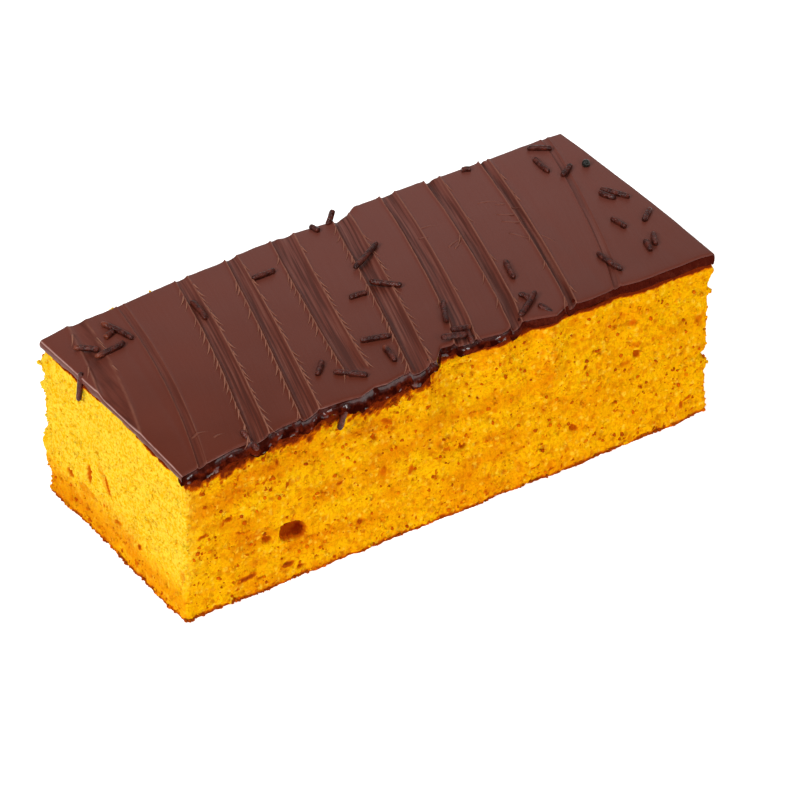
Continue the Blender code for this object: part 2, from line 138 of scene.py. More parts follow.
# The icing's mesh: columns that crowd at the ridges, rows that crowd at the front and the back,
# rings down its walls and under it
ICING_COLUMNS = 430
ICING_ROWS = 168
RIDGE_CROWDING = 2.2
RIDGE_CROWDING_REACH = 0.9
EDGE_ROWS = (0.0, 0.1, 0.22, 0.36, 0.55, 0.8, 1.1)
INNER_ROWS_FROM = 1.45
WALL_SHARES = (0.97, 0.9, 0.78, 0.64, 0.48, 0.32, 0.16, 0.04, 0.0)
UNDERSIDE_RINGS = (0.985, 0.85, 0.5)

# The sharp crest on each ridge, on its -X side and on its +X side, over a soft shoulder
CREST_WIDTH = 0.2
CREST_HEIGHTS = (0.42, 0.3)
CREST_WAVER = 0.6
CREST_DEPTH = 0.5
SHOULDER_SHARE = 0.16
SHOULDER_WIDTH = 0.6
BAND_WAVE = 0.07
STREAK_DEPTH = 0.07

# Faint creases: x at the front and at the back, depth, width
CREASES = (
    (45.0, 54.5, 0.12, 1.5),
    (66.2, 66.4, 0.10, 1.6),
    (57.2, 73.0, 0.08, 1.6),
    (-69.5, -58.0, 0.10, 1.2),
)

# Lumps that the spatula left at the back ends of grooves: x, height, half width
BACK_LUMPS = (
    (-8.6, 0.55, 1.3),
    (8.2, -0.35, 0.8),
    (12.0, -0.5, 0.9),
    (14.6, 0.4, 1.1),
    (37.6, 0.75, 1.3),
    (52.4, 0.7, 0.9),
    (-53.6, 0.35, 0.9),
)
BACK_LUMP_REACH = 1.8

# Barbs that the spatula pushed off the ridges: spacing along them, the share kept on the right
# half, length, lean in degrees, half width, height, how far out they start, and their mesh
BARB_SPACING = 3.3
BARB_SHARE_RIGHT = 0.22
BARB_LENGTH = (3.0, 5.2)
BARB_LEAN = (20.0, 34.0)
BARB_WIDTH = 0.34
BARB_HEIGHT = 0.5
BARB_BOUND = 71.0
BARB_STATIONS = 7
BARB_RING = 6

# Thin smears on the bands: x and y of both ends, and how far the middle is bent aside
SMEARS = (
    (22.1, 16.3, 27.3, 15.0, 0.7),
    (23.6, 5.9, 29.6, 6.9, 0.8),
    (24.6, 4.6, 28.4, 5.4, 0.6),
    (20.2, 13.9, 23.4, 12.4, -0.5),
    (41.3, 11.4, 46.6, 4.2, 1.0),
    (40.6, 8.2, 45.2, 0.6, 1.1),
    (43.4, 15.0, 48.4, 9.6, 0.9),
    (40.2, 17.8, 45.8, 14.4, 0.8),
    (39.2, 3.0, 42.2, -4.4, 0.7),
    (44.6, -1.2, 46.4, -7.6, 0.5),
    (-66.2, -21.6, -62.0, -22.4, 0.5),
    (-62.4, -25.0, -59.6, -25.3, 0.3),
)

# The wet lip over the front cut: x, and how far it reaches down from the rim there
LIP_REACH = (
    (-74.5, 3.2),
    (-69.5, 4.2),
    (-42.5, 4.6),
    (-31.5, 4.0),
    (-20.5, 5.6),
    (-14.5, 4.6),
    (-8.5, 4.0),
    (-1.5, 3.2),
    (24.5, 3.1),
    (33.0, 2.7),
    (42.5, 2.7),
    (53.5, 3.4),
    (75.5, 3.5),
)

# The lip's mesh, half its depth, how far its lumps and its foot stand out, where it turns smooth and
# how rough it stays there, the sizes of its scallops and lumps, how square its section is, and how
# far below it the crumb is darker
LIP_CELL = 0.24
LIP_RING = 44
LIP_HALF_DEPTH = 1.1
LIP_BLOB = 0.95
LIP_FOOT = 0.55
LIP_ROUGH_SPAN = (2.0, 36.0)
LIP_SMOOTH_SHARE = 0.18
LIP_SCALLOPS = (4.2, 1.7)
LIP_LUMPS = (2.1, 0.95)
LIP_SQUARENESS = 0.75
LIP_SHADE = 0.8

# The sponge: how far it reaches into the icing, its corners, its mesh, and how far its cut faces
# lie inside the straight ones
SEAT = 0.15
CORNER_RADIUS = 1.3
CORNER_STEPS = 7
FINE_CELL = 0.42
COARSE_CELL = 0.62
SPONGE_ROWS = 104
CAP_RINGS = (0.985, 0.9, 0.6)
SIDE_INSET = 0.1
SIDE_WAVE = 0.35
RIGHT_CRUMB = 0.4

# Teeth and notches at an upright edge fade away from it over this length
EDGE_FADE = 3.0

# Teeth of the left back edge: height, half height, reach
LEFT_TEETH = (
    (37.5, 2.6, 1.4),
    (31.2, 1.3, 1.7),
    (17.5, 1.5, 0.6),
    (13.8, 3.0, 2.4),
    (8.5, 2.5, 1.0),
)

# Notches (inwards) and teeth (outwards) of the right front edge: height, half height, depth
RIGHT_NOTCHES = (
    (41.4, 1.4, -1.2),
    (37.4, 1.2, 0.5),
    (35.7, 0.5, -1.3),
    (22.5, 2.0, -0.2),
    (17.7, 1.1, 2.6),
    (15.0, 0.9, -0.4),
    (12.3, 0.6, 0.9),
    (3.0, 2.5, -0.4),
)

# Where the rim is torn, the sponge below lies back, in parabolas, over this share of its height
TORN_SPAN = (0.5, 0.84)
TORN_REACH = 6.0
TORN_SLOPE = 0.1

# How hollow the ends are half way up
END_HOLLOW = 0.3

# Round pores in the crumb: cell, seed, share of the cells that hold one, least and largest radius
PORES = (
    (1.4, 46, 0.34, 0.2, 0.55),
    (2.9, 47, 0.26, 0.35, 0.85),
    (8.0, 48, 0.24, 0.5, 1.25),
)
CRUMB_WARP = 0.8
PIT_DEPTH = 1.7

# Lumps in the crumb: size, seed, weight, mean
CRUMB_LUMPS = ((5.0, 44, 0.4, 0.65), (2.0, 45, 0.4, 0.7))
CRUMB_MEAN_DEPTH = 0.3

# Air holes in the cut faces: the face, the place along it, the height, the width and how tall
AIR_HOLE_DEPTH = 0.55
AIR_HOLE_SLANT = 0.25
FLAT_FOOTED_WIDTH = 4.0
AIR_HOLES = (
    ("front", -44.5, 14.3, 7.4, 6.2),
    ("front", -51.6, 14.4, 2.8, 2.4),
    ("front", 3.5, 18.7, 2.6, 2.2),
    ("front", 36.0, 10.7, 2.4, 2.0),
    ("front", -22.0, 31.7, 2.6, 2.0),
    ("front", 54.0, 25.7, 2.4, 2.2),
    ("left", 22.0, 11.2, 3.2, 2.8),
    ("left", 13.0, 16.2, 2.2, 6.0),
    ("back", -48.0, 25.2, 4.2, 3.2),
    ("back", -6.0, 13.2, 5.4, 4.0),
    ("back", 41.0, 30.2, 3.6, 3.0),
    ("right", -12.0, 20.2, 4.8, 3.4),
    ("right", 16.0, 31.2, 3.4, 3.0),
)
FACE_NORMALS = {"front": (0.0, -1.0), "right": (1.0, 0.0), "back": (0.0, 1.0), "left": (-1.0, 0.0)}

# Crumb soaked by the icing: how deep, how much deeper on the wet left half of the front, and the x
# between which that half ends
SOAK_DEPTH = 0.6
SOAK_WET = 2.1
WET_SPAN = (-12.0, 10.0)

# Browned crumb: the heights between which it ends at the foot, and on the left face's foot
BROWNED_FOOT = (0.25, 1.2)
TANNED_FOOT = (5.0, 12.0)

# Browned specks: the values of the noise between which they show, the same near the foot and the
# heights between which those end, and how much denser the wet half is and how far down
SPECK_NOISE = (0.5, 0.6)
LOW_SPECK_NOISE = (0.36, 0.5)
LOW_SPECK_SPAN = (1.5, 5.0)
SPECK_DENSITY = 0.46
SPECK_SPAN = (0.5, 6.5)

# More dark dots: how far below the icing they end on the wet half, and how far above the foot
SPECKLED_BELOW = (1.0, 9.0)
SPECKLED_FOOT = (2.0, 7.0)

# A painted highlight on the rounded front left edge: pale up to this far from the end, fading over this
# length
EDGE_HIGHLIGHT_FROM = 0.8
EDGE_HIGHLIGHT_REACH = 1.6

# Crumbs that cling to the cut faces: how many are tried, the share at the bottom edge, the share
# that is browned, least and largest radius, how uneven they are and how much they are stretched
CRUMB_COUNT = 7000
CRUMB_LOW_SHARE = 0.1
CRUMB_TANNED = 0.3
CRUMB_RADIUS = (0.14, 0.55)
CRUMB_UNEVEN = 0.28
CRUMB_STRETCH = (0.75, 1.3)

# Bigger crumbs at the edges, each made of several pieces: x, y, z and radius
EDGE_CRUMB_PIECES = 6
EDGE_CRUMBS = (
    (-55.2, 31.8, 44.8, 1.1),
    (-44.9, 31.8, 45.6, 1.0),
    (-74.9, 32.0, 37.2, 1.0),
    (-74.2, -30.2, 22.0, 0.7),
)

# Browned marks on the cut faces: face, place along it, height, half length, half height,
# tilt in degrees and strength
STAINS = (
    ("left", 6.4, 19.5, 5.0, 1.7, 64, 0.22),
    ("left", 4.4, 18.0, 3.6, 0.5, 68, 0.60),
    ("left", 20.8, 11.5, 1.0, 1.0, 0, 0.50),
    ("left", 14.4, 10.1, 4.0, 1.6, 5, 0.26),
    ("left", 7.4, 10.2, 0.6, 0.5, 0, 0.70),
    ("left", 0.5, 9.8, 1.6, 0.7, 0, 0.45),
    ("left", -9.8, 9.0, 0.9, 0.6, 0, 0.80),
    ("left", -29.1, 12.8, 1.4, 1.8, 0, 0.24),
    ("front", -60.0, 32.0, 7.5, 1.3, -12, 0.20),
    ("front", -63.5, 24.3, 8.0, 2.0, -14, 0.22),
    ("front", -62.4, 25.0, 1.2, 0.6, 0, 0.65),
    ("front", -69.7, 23.4, 1.5, 0.5, 18, 0.70),
    ("front", -59.4, 20.1, 1.1, 0.5, -20, 0.70),
    ("front", -57.6, 5.6, 2.6, 0.9, 8, 0.80),
    ("front", -45.9, 4.8, 1.6, 0.7, 0, 0.75),
    ("front", -39.8, 24.6, 4.0, 1.3, -8, 0.20),
    ("front", -48.6, 35.5, 0.5, 1.0, 0, 0.75),
    ("front", -39.4, 38.6, 1.1, 0.9, 0, 0.80),
    ("front", -31.6, 22.9, 1.0, 0.5, 0, 0.70),
    ("front", -26.2, 34.8, 4.5, 1.6, -6, 0.24),
    ("front", -25.8, 8.9, 0.9, 0.8, 0, 0.75),
    ("front", -19.3, 21.4, 0.9, 1.6, -12, 0.40),
    ("front", -18.8, 35.6, 1.6, 0.8, -30, 0.60),
    ("front", -11.5, 18.1, 0.9, 1.4, 0, 0.55),
    ("front", -6.4, 34.7, 1.3, 0.6, 0, 0.60),
    ("front", -4.3, 41.9, 1.3, 0.9, -20, 0.70),
    ("front", -1.4, 20.1, 1.3, 1.0, 0, 0.42),
    ("front", 38.9, 27.7, 0.7, 0.6, 0, 0.70),
    ("front", 50.3, 24.2, 3.2, 0.7, 4, 0.30),
    ("front", 52.8, 35.1, 1.4, 1.1, 0, 0.42),
    ("front", 54.1, 28.6, 1.4, 1.0, 0, 0.34),
    ("front", 58.7, 28.3, 0.7, 0.9, 0, 0.38),
    ("front", 67.9, 5.2, 0.6, 1.3, 0, 0.65),
    ("front", 69.6, 6.3, 1.7, 0.5, 12, 0.55),
    ("front", 72.4, 28.5, 1.3, 1.4, 0, 0.36),
)

# Sprinkles: thickness, most bend, how far they sink in, bluntness of the ends, grain, mesh
SPRINKLE_THICKNESS = 1.45
SPRINKLE_BEND = 0.35
SPRINKLE_SINK = 0.25
SPRINKLE_BLUNTNESS = 9
SPRINKLE_GRAIN = 0.10
SPRINKLE_STATIONS = 34
SPRINKLE_RING = 18

# Sprinkles lying on the icing: x and y of the middle, heading in degrees from +X, length
SPRINKLES = (
    (-59.5, 22.4, 105, 10.5),
    (-68.6, 21.3, 135, 6.1),
    (-64.6, 17.2, 180, 8.2),
    (-61.7, 22.4, 19, 3.0),
    (-39.9, 17.6, 83, 8.2),
    (-19.8, 20.5, 1, 6.6),
    (1.0, 30.2, 102, 3.1),
    (4.7, 13.5, 30, 12.4),
    (2.4, 1.4, 128, 8.2),
    (-5.9, 0.7, 172, 4.7),
    (-29.5, -18.8, 45, 5.6),
    (-24.8, -24.8, 137, 8.2),
    (-12.3, -16.3, 162, 7.5),
    (-12.8, -23.2, 81, 6.6),
    (7.2, -16.6, 61, 9.4),
    (6.6, -24.0, 169, 5.3),
    (3.2, -26.2, 168, 6.6),
    (7.2, -26.9, 70, 5.2),
    (30.2, -10.2, 71, 7.8),
    (25.3, -24.7, 34, 10.4),
    (26.5, -21.5, 104, 3.1),
    (51.9, -20.9, 95, 9.2),
    (63.4, -8.6, 98, 5.2),
    (70.3, 2.4, 120, 8.0),
    (68.2, 2.7, 113, 4.8),
    (71.2, -9.6, 38, 5.6),
    (63.6, -20.4, 73, 4.5),
    (66.6, -19.0, 61, 5.0),
    (66.3, 28.7, 146, 6.2),
    (62.5, 22.5, 86, 7.2),
    (66.2, 17.1, 31, 5.4),
    (46.0, 31.2, 159, 2.4),
)

# Sprinkles that hang over an edge or stand up: both ends
HANGING_SPRINKLES = (
    ((-74.0, 14.7, 44.8), (-75.8, 13.3, 38.0)),
    ((-30.4, -31.6, 45.4), (-32.7, -31.9, 39.6)),
    ((-57.0, -28.1, 47.2), (-55.3, -32.6, 43.5)),
    ((27.4, -26.1, 48.3), (29.6, -30.6, 46.7)),
    ((5.0, 30.6, 47.2), (7.0, 31.2, 50.9)),
)

# Sprinkles with an orange-red end, painted light that the end picks up: which, in both lists run
# together, and which end
GLOWING_ENDS = ((0, 1.0), (1, 1.0), (2, 1.0), (3, -1.0), (13, 1.0), (15, -1.0), (33, -1.0))

# The sugar ball: x and y, width, mesh from pole to pole and round
SUGAR_BALL = (71.9, 16.8)
SUGAR_BALL_WIDTH = 2.1
SUGAR_BALL_STATIONS = 22
SUGAR_BALL_RING = 26

# Uneven edges and faces are sums of plane waves of these lengths, brought to about -1 to 1
WAVE_LENGTHS = (43.0, 29.0, 19.0, 13.0, 9.0)
WAVE_SCALE = 16.0

# Colours, each from its first to its second over a soft mottle
SPONGE_FRONT = ((0.87, 0.450, 0.002, 1.0), (0.73, 0.235, 0.001, 1.0))
SPONGE_CALM = (0.83, 0.395, 0.001, 1.0)
# The left cut's paler gold is partly its own fresh colour and partly a painted pool of the key light on
# that side
SPONGE_FRESH_AND_LIT = ((0.85, 0.560, 0.042, 1.0), (0.77, 0.400, 0.004, 1.0))
# Orange for dots and browned crumb, and painted shade in the pores: orange, then deep brown in the
# deepest
ORANGE_AND_PORE_SHADE = ((0.58, 0.115, 0.001, 1.0), (0.26, 0.020, 0.002, 1.0))
SPECK_COLOR = (0.36, 0.055, 0.002, 1.0)
BROWNED = (0.16, 0.018, 0.003, 1.0)
CHOCOLATE = ((0.097, 0.0178, 0.0078, 1.0), (0.108, 0.0205, 0.0095, 1.0))
# A paler, greyer tone towards the back right: a painted sheen
CHOCOLATE_SHEEN = (0.158, 0.047, 0.035, 1.0)
CHANNEL_STREAK = (0.055, 0.011, 0.006, 1.0)
CHANNEL_LIGHT = (0.21, 0.080, 0.055, 1.0)
# A painted highlight on the ridges' thin crests
CREST_HIGHLIGHT = (0.34, 0.145, 0.092, 1.0)
# A painted highlight along the rounded rims
RIM_HIGHLIGHT = (0.38, 0.21, 0.18, 1.0)
CRUMB_PALE = (0.95, 0.64, 0.04, 1.0)
LIP_WET = ((0.030, 0.004, 0.002, 1.0), (0.070, 0.012, 0.008, 1.0))
LIP_RAGGED = ((0.022, 0.002, 0.001, 1.0), (0.115, 0.013, 0.004, 1.0))
LIP_DRY = ((0.055, 0.006, 0.003, 1.0), (0.080, 0.012, 0.006, 1.0))
SPRINKLE_COLORS = ((0.032, 0.004, 0.002, 1.0), (0.100, 0.017, 0.009, 1.0))
BALL_COLORS = ((0.012, 0.012, 0.010, 1.0), (0.03, 0.028, 0.02, 1.0))
# Painted orange light at some sprinkles' ends
END_GLOW_COLOR = (0.19, 0.040, 0.017, 1.0)

# Small dots in the crumb: cells per metre, share of cells left plain, weight, colour
CRUMB_DOTS = (
    (640.0, 0.55, 0.50, CRUMB_PALE),
    (430.0, 0.40, 0.50, ORANGE_AND_PORE_SHADE[0]),
    (500.0, 0.76, 0.54, SPECK_COLOR),
)

# How rough each finish is, from 0, a mirror, to 1, and how strongly it reflects
SPONGE_ROUGHNESS = 0.7
ICING_ROUGHNESS = (0.34, 0.5)
LIP_ROUGHNESS = 0.5
LIP_COAT_ROUGHNESS = 0.1
SPRINKLE_ROUGHNESS = 0.28
BALL_ROUGHNESS = 0.3
NO_SHINE = 0.0
ICING_SHINE = 0.16
SPRINKLE_SHINE = 0.28

# Grain of each finish: scale per metre and how strongly its cells show
SPONGE_PATCHES = (75.0, 0.4)
SPONGE_GRAIN = (420.0, 0.9)
ICING_PATCHES = (70.0, 0.3)
ICING_GRAIN = (900.0, 0.5)
LIP_PATCHES = (420.0, 0.6)
LIP_GRAIN = (1500.0, 0.6)
SPRINKLE_SKIN = (700.0, 0.8)

# Bumps: height in metres and strength
SPONGE_BUMP = (0.00022, 1.0)
STREAK_BUMP = (0.0001, 0.5)
ICING_BUMP = (0.00005, 0.3)
LIP_LUMP_BUMP = (0.0005, 0.9)
LIP_BUMP = (0.0001, 0.5)
SPRINKLE_BUMP = (0.0002, 0.9)

# Where finishes change along the slab, in metres of x and y; the icing's painted sheen grows towards the
# back right
CALM_SPAN = (-0.01, 0.07)
SHEEN_SPAN_X = (-0.08, 0.06)
SHEEN_SPAN_Y = (-0.035, 0.035)

# Light that spreads under the crumb's skin: how strongly, how far for red, green and blue, and how
# many metres that is to be multiplied by
GLOW_WEIGHT = 0.35
GLOW_RADIUS = (1.0, 0.45, 0.1)
GLOW_SCALE = 0.0014

# Camera: where it stands, how far it looks down and to the right of +Y, and its lens
CAMERA_PLACE = (-539.3, -812.9, 723.6)
CAMERA_DOWN = 35.966884
CAMERA_RIGHT = 33.833247
CAMERA_LENS = 225.0

# The studio: how bright its white surroundings and the floor's own glow are, the floor's size and
# colour, and the point that every light is aimed at, in metres
WORLD_STRENGTH = 0.3
FLOOR_GLOW = 0.55
FLOOR_SIZE = 12.0
FLOOR_COLOR = (0.93, 0.93, 0.93, 1.0)
LIGHT_AIM = (0.0, 0.0, 0.03)

# Lights: name, place in metres, size, power
LIGHTS = (
    ("key", (-1.05, -0.25, 0.85), 0.4, 9.0),
    ("top box", (-0.3, -0.25, 1.4), 1.0, 7.0),
    ("back box", (0.75, 0.95, 0.75), 0.9, 1.5),
    ("front fill", (0.1, -1.2, 0.75), 0.35, 4.0),
)

# Random numbers are mixed in 32 bits. A cell is looked at together with the 26 around it.
WORD = 0xFFFFFFFF
NEIGHBOURS = tuple(itertools.product((-1, 0, 1), repeat=3))


# ---- Shapes that the pieces share


def smooth_step(low, high, value):
    """0 below low, 1 above high, and an S-shaped cubic between them."""
    share = np.clip((value - low) / (high - low), 0.0, 1.0)
    return share * share * (3.0 - 2.0 * share)


def across(y):
    """How far y lies from the front edge, 0, to the back edge, 1."""
    return np.clip((y - FRONT) / (BACK - FRONT), 0.0, 1.0)


def bowed(bow, share):
    """A parabola over a share from 0 to 1: 0 at both ends and bow half way."""
    return 4.0 * bow * share * (1.0 - share)


def full_turn(count):
    """The angles of so many places round a ring."""
    return np.linspace(0.0, 2.0 * math.pi, count, endpoint=False)


def on_face(normal, face, least=0.9):
    """Where outward normals point straight out of a named face, or nearly so."""
    return (normal @ np.array(FACE_NORMALS[face])) > least


def waves(a, b, seed):
    """Sum of five plane waves in seeded directions, within about -1 to 1."""
    draw = np.random.default_rng(seed)
    total = 0.0
    for length in WAVE_LENGTHS:
        turn, phase = draw.uniform(0.0, 2.0 * math.pi, 2)
        total = total + length**0.6 * np.sin(
            2.0 * math.pi * (a * math.cos(turn) + b * math.sin(turn)) / length + phase
        )
    return total / WAVE_SCALE


def icing_level(x, y):
    """Height of the spread icing before the grooves: level, then sinking as a parabola."""
    sunken = np.clip(1.0 - (x - LEFT_END) / SUNKEN_LENGTH, 0.0, None) ** 2
    depth = SUNKEN_DEPTH_FRONT + (SUNKEN_DEPTH_BACK - SUNKEN_DEPTH_FRONT) * across(y)
    crown = LEFT_EDGE_CROWN * np.sin(math.pi * across(y))
    return HEIGHT - (depth - crown) * sunken


def icing_underside(x, y):
    """Height of the icing's underside, a little higher at the left end, where the icing is thin."""
    thin = THIN_LEFT * np.exp(-np.clip(x - LEFT_END, 0.0, None) / THIN_LEFT_REACH)
    return icing_level(x, y) - ICING_THICKNESS + thin


def groove_line(row, share):
    """x of a groove's middle and its half width, at a share of the way from the front."""
    front_x, back_x, bow, front_width, back_width = row[:5]
    middle = front_x + (back_x - front_x) * share + bowed(bow, share)
    return middle, 0.5 * (front_width + (back_width - front_width) * share)


def groove_places(x, y):
    """For each groove: its depth, the side of its middle (-1 to 1 inside it) and its half width."""
    share = across(y)
    for row in GROOVES:
        front_depth, back_depth, start = row[5:]
        middle, half = groove_line(row, share)
        depth = front_depth + (back_depth - front_depth) * share
        if start:
            depth = depth * smooth_step(start - GROOVE_RAMP, start + GROOVE_RAMP, y - FRONT)
        yield depth, (x - middle) / half, half


def edge_distance(x, y):
    """Distance to the nearest of the icing's four edges."""
    return np.minimum(np.minimum(x - LEFT_END, RIGHT_END - x), np.minimum(y - FRONT, BACK - y))


def icing_top(x, y):
    """The plain icing's surface: skewed flat channels between soft ridges, rounded at its edges."""
    marks = 0.0
    for depth, side, half in groove_places(x, y):
        channel = np.clip(1.0 - side**4, 0.0, None)
        ridge = np.exp(-((((np.abs(side) - 1.0) * half) / RIDGE_WIDTH) ** 2))
        skew = 1.0 - GROOVE_SKEW * np.clip(side, -1.0, 1.0)
        marks = marks + depth * skew * (RIDGE_SHARE * ridge - channel)
    rounding = RIM_ROUNDING * np.exp(-np.clip(edge_distance(x, y), 0.0, None) / RIM_ROUNDING_REACH)
    return icing_level(x, y) + marks - rounding


def right_bulge(y):
    """How far the right end stands out half way between the front and the back."""
    return RIGHT_BULGE * np.sin(math.pi * across(y))


def rim_shift(x):
    """How far the icing's front rim lies behind the straight front, less than 0 where it bulges."""
    return np.interp(x, *zip(*RIM_OUTLINE))


def torn_sponge(x):
    """How far the sponge's front edge lies back where the rim is torn: a hull of parabolas over it."""
    reaches = np.linspace(-TORN_REACH, TORN_REACH, 13)
    return np.max([rim_shift(x + reach) - TORN_SLOPE * reach**2 for reach in reaches], axis=0)


def back_shift(x):
    """How far the icing's back rim lies in front of the straight back."""
    return np.interp(x, *zip(*BACK_OUTLINE))


def shrunk(ring, part):
    """A ring pulled level towards the slab's middle, to a part of its size."""
    made = ring.copy()
    made[:, :2] = np.array(MIDDLE) + part * (ring[:, :2] - np.array(MIDDLE))
    return made


def sheared_to_rims(x, y):
    """y moved with the front and back rims: fully at a rim, fading out over EDGE_REACH."""
    near_front = 1.0 - smooth_step(0.0, EDGE_REACH, y - FRONT)
    near_back = 1.0 - smooth_step(0.0, EDGE_REACH, BACK - y)
    return y + near_front * rim_shift(x) - near_back * back_shift(x)


def hashed(cells, seed, count):
    """Random numbers from 0 to 1 for cells of whole numbers: the three mixed, then scrambled in turn."""
    mixed = (cells[..., 0] * 73856093) ^ (cells[..., 1] * 19349663) ^ (cells[..., 2] * 83492791)
    mixed = (mixed + seed * 40503001) & WORD
    drawn = []
    for _ in range(count):
        mixed = ((mixed ^ (mixed >> 16)) * 73244475 + 12345) & WORD
        mixed = ((mixed ^ (mixed >> 15)) * 73244475) & WORD
        mixed = mixed ^ (mixed >> 16)
        drawn.append(mixed / WORD)
    return drawn


def cloudy(points, size, seed, octaves=3):
    """Value noise from -1 to 1: random corners blended by S curves, in octaves of half the size."""
    total, weight = 0.0, 1.0
    for octave in range(octaves):
        place = points / size * 2.0**octave
        home = np.floor(place).astype(np.int64)
        part = place - home
        part = part * part * (3.0 - 2.0 * part)
        for corner in itertools.product((0, 1), repeat=3):
            near = np.where(corner, part, 1.0 - part).prod(axis=-1)
            total = total + weight * near * (2.0 * hashed(home + corner, seed + octave, 1)[0] - 1.0)
        weight *= 0.5
    return total / (2.0 - 0.5 ** (octaves - 1))


def lumps(points, size, seed):
    """Rounded lumps, 0 to 1: 1 at a random place in each cell, less the squared distance to it."""
    place = points / size
    home = np.floor(place).astype(np.int64)
    nearest = np.full(points.shape[:-1], 9.0)
    for step in NEIGHBOURS:
        cell = home + step
        centre = cell + np.stack(hashed(cell, seed, 3), axis=-1)
        nearest = np.minimum(nearest, ((place - centre) ** 2).sum(axis=-1))
    return np.clip(1.0 - nearest, 0.0, 1.0)


def pores(points, size, seed, share, small, large):
    """Depth of round pores: a share of the cells holds a ball of a radius from small to large."""
    place = points / size
    home = np.floor(place).astype(np.int64)
    deepest = np.zeros(points.shape[:-1])
    for step in NEIGHBOURS:
        cell = home + step
        *spot, chance, part = hashed(cell, seed, 5)
        radius = small + (large - small) * part**2
        away = ((place - cell - np.stack(spot, axis=-1)) ** 2).sum(axis=-1) * size**2
        depth = np.sqrt(np.clip(radius**2 - away, 0.0, None)) * (chance < share)
        deepest = np.maximum(deepest, depth)
    return deepest


# ---- Meshes


def grid_faces(rows, columns, closed):
    """Quads between each row and the next; closed joins the last column to the first."""
    row = np.arange(rows - 1)[:, None] * columns
    column = np.arange(columns if closed else columns - 1)[None, :]
    following = (column + 1) % columns
    corners = (row + column, row + following, row + columns + following, row + columns + column)
    return np.stack([corner.ravel() for corner in corners], axis=1)


def piece_from(name, points, faces, masks, material):
    """An object in metres from points in millimetres, with its masks as point attributes."""
    mesh = bpy.data.meshes.new(name)
    mesh.from_pydata((points * MM).tolist(), [], faces)
    mesh.shade_smooth()
    for mask, values in masks.items():
        values = np.asarray(values, dtype=np.float32)
        kind = "FLOAT_VECTOR" if values.ndim == 2 else "FLOAT"
        attribute = mesh.attributes.new(mask, kind, "POINT")
        attribute.data.foreach_set("vector" if values.ndim == 2 else "value", values.ravel())
    mesh.materials.append(material)
    made = bpy.data.objects.new(name, mesh)
    bpy.context.scene.collection.objects.link(made)
    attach(made, "root")
    return made


def closed_tubes(rings):
    """Points and faces of tubes from rings (tube, station, place in ring, xyz), their ends fanned.

    Each ring runs counter-clockwise seen against the tube's direction, so faces point outwards.
    """
    count, stations, around, _ = rings.shape
    walls = grid_faces(stations, around, True)
    place = np.arange(around)
    following = (place + 1) % around
    last = (stations - 1) * around
    start_pole = np.full(around, stations * around)
    start_fan = np.stack([start_pole, following, place], axis=1)
    end_fan = np.stack([start_pole + 1, last + place, last + following], axis=1)
    poles = rings[:, [0, -1]].mean(axis=2)
    points = np.concatenate([rings.reshape(count, -1, 3), poles], axis=1)
    first = np.arange(count) * points.shape[1]
    faces = []
    for part in (walls, start_fan, end_fan):
        faces += (first[:, None, None] + part).reshape(-1, part.shape[1]).tolist()
    return points.reshape(-1, 3), faces


def tube_mask(values, count):
    """A mask given for each tube's ring points, (tube, station, place), with its two poles added."""
    ends = values[:, [0, -1]].mean(axis=2)
    return np.concatenate([values.reshape(count, -1), ends], axis=1).ravel()


# ---- The sponge


def slab_outline():
    """Points and outward normals round the slab: four straight runs joined by quarter circles."""
    low = np.array([LEFT_END, FRONT]) + CORNER_RADIUS
    high = np.array([RIGHT_END, BACK]) - CORNER_RADIUS
    centres = [low, np.array([high[0], low[1]]), high, np.array([low[0], high[1]])]
    places, normals = [], []
    for number, cell in enumerate((FINE_CELL, COARSE_CELL, COARSE_CELL, FINE_CELL)):
        start, end = centres[number], centres[(number + 1) % 4]
        count = round(np.linalg.norm(end - start) / cell)
        share = np.arange(count)[:, None] / count
        facing = (number - 1) * math.pi / 2.0
        turn = facing + math.pi / 2.0 * np.arange(CORNER_STEPS) / CORNER_STEPS
        turn = np.concatenate([np.full(count, facing), turn])
        normal = np.column_stack([np.cos(turn), np.sin(turn)])
        middle = np.concatenate([start + share * (end - start), np.repeat(end[None], CORNER_STEPS, 0)])
        places.append(middle + CORNER_RADIUS * normal)
        normals.append(normal)
    return np.concatenate(places), np.concatenate(normals)


def left_teeth(z):
    """How far the left back edge stands out at each height, in bells."""
    return sum(reach * np.exp(-(((z - height) / half) ** 2)) for height, half, reach in LEFT_TEETH)


def right_notches(y, z):
    """How far the right front edge goes in or out: bells up the edge that fade away from it."""
    total = sum(depth * np.exp(-(((z - height) / half) ** 2)) for height, half, depth in RIGHT_NOTCHES)
    return total * np.exp(-np.clip(y - FRONT, 0.0, None) / EDGE_FADE)


def side_insets(x, y, z):
    """How far the sponge's cut faces lie inside the slab's straight ones: front, back and ends."""
    height = np.clip(z / (HEIGHT - ICING_THICKNESS), 0.0, 1.0)
    hollow = END_HOLLOW * np.sin(math.pi * height)
    torn = np.clip(torn_sponge(x), 0.0, None) * smooth_step(*TORN_SPAN, height)
    front = SIDE_INSET + SIDE_WAVE * waves(x, z, 21) + torn
    short = np.clip(back_shift(x), 0.0, None) * smooth_step(0.3, 0.9, height)
    back = SIDE_INSET + SIDE_WAVE * waves(x, z, 22) + short
    left = SIDE_INSET + SIDE_WAVE * waves(y, z, 23) + 0.3 * hollow
    teeth = left_teeth(z)
    left = left - 0.6 * teeth * np.exp(-np.clip(BACK - y, 0.0, None) / EDGE_FADE)
    back = back - 0.9 * teeth * np.exp(-np.clip(x - LEFT_END, 0.0, None) / EDGE_FADE)
    right = SIDE_WAVE * waves(y, z, 24) + hollow - right_bulge(y) - RIGHT_CRUMB
    right = right + right_notches(y, z)
    return front, back, left, right


def along_face(points, face):
    """How far along a named face points lie: x on the front and the back, y on the ends."""
    return points[..., 0 if face in ("front", "back") else 1]


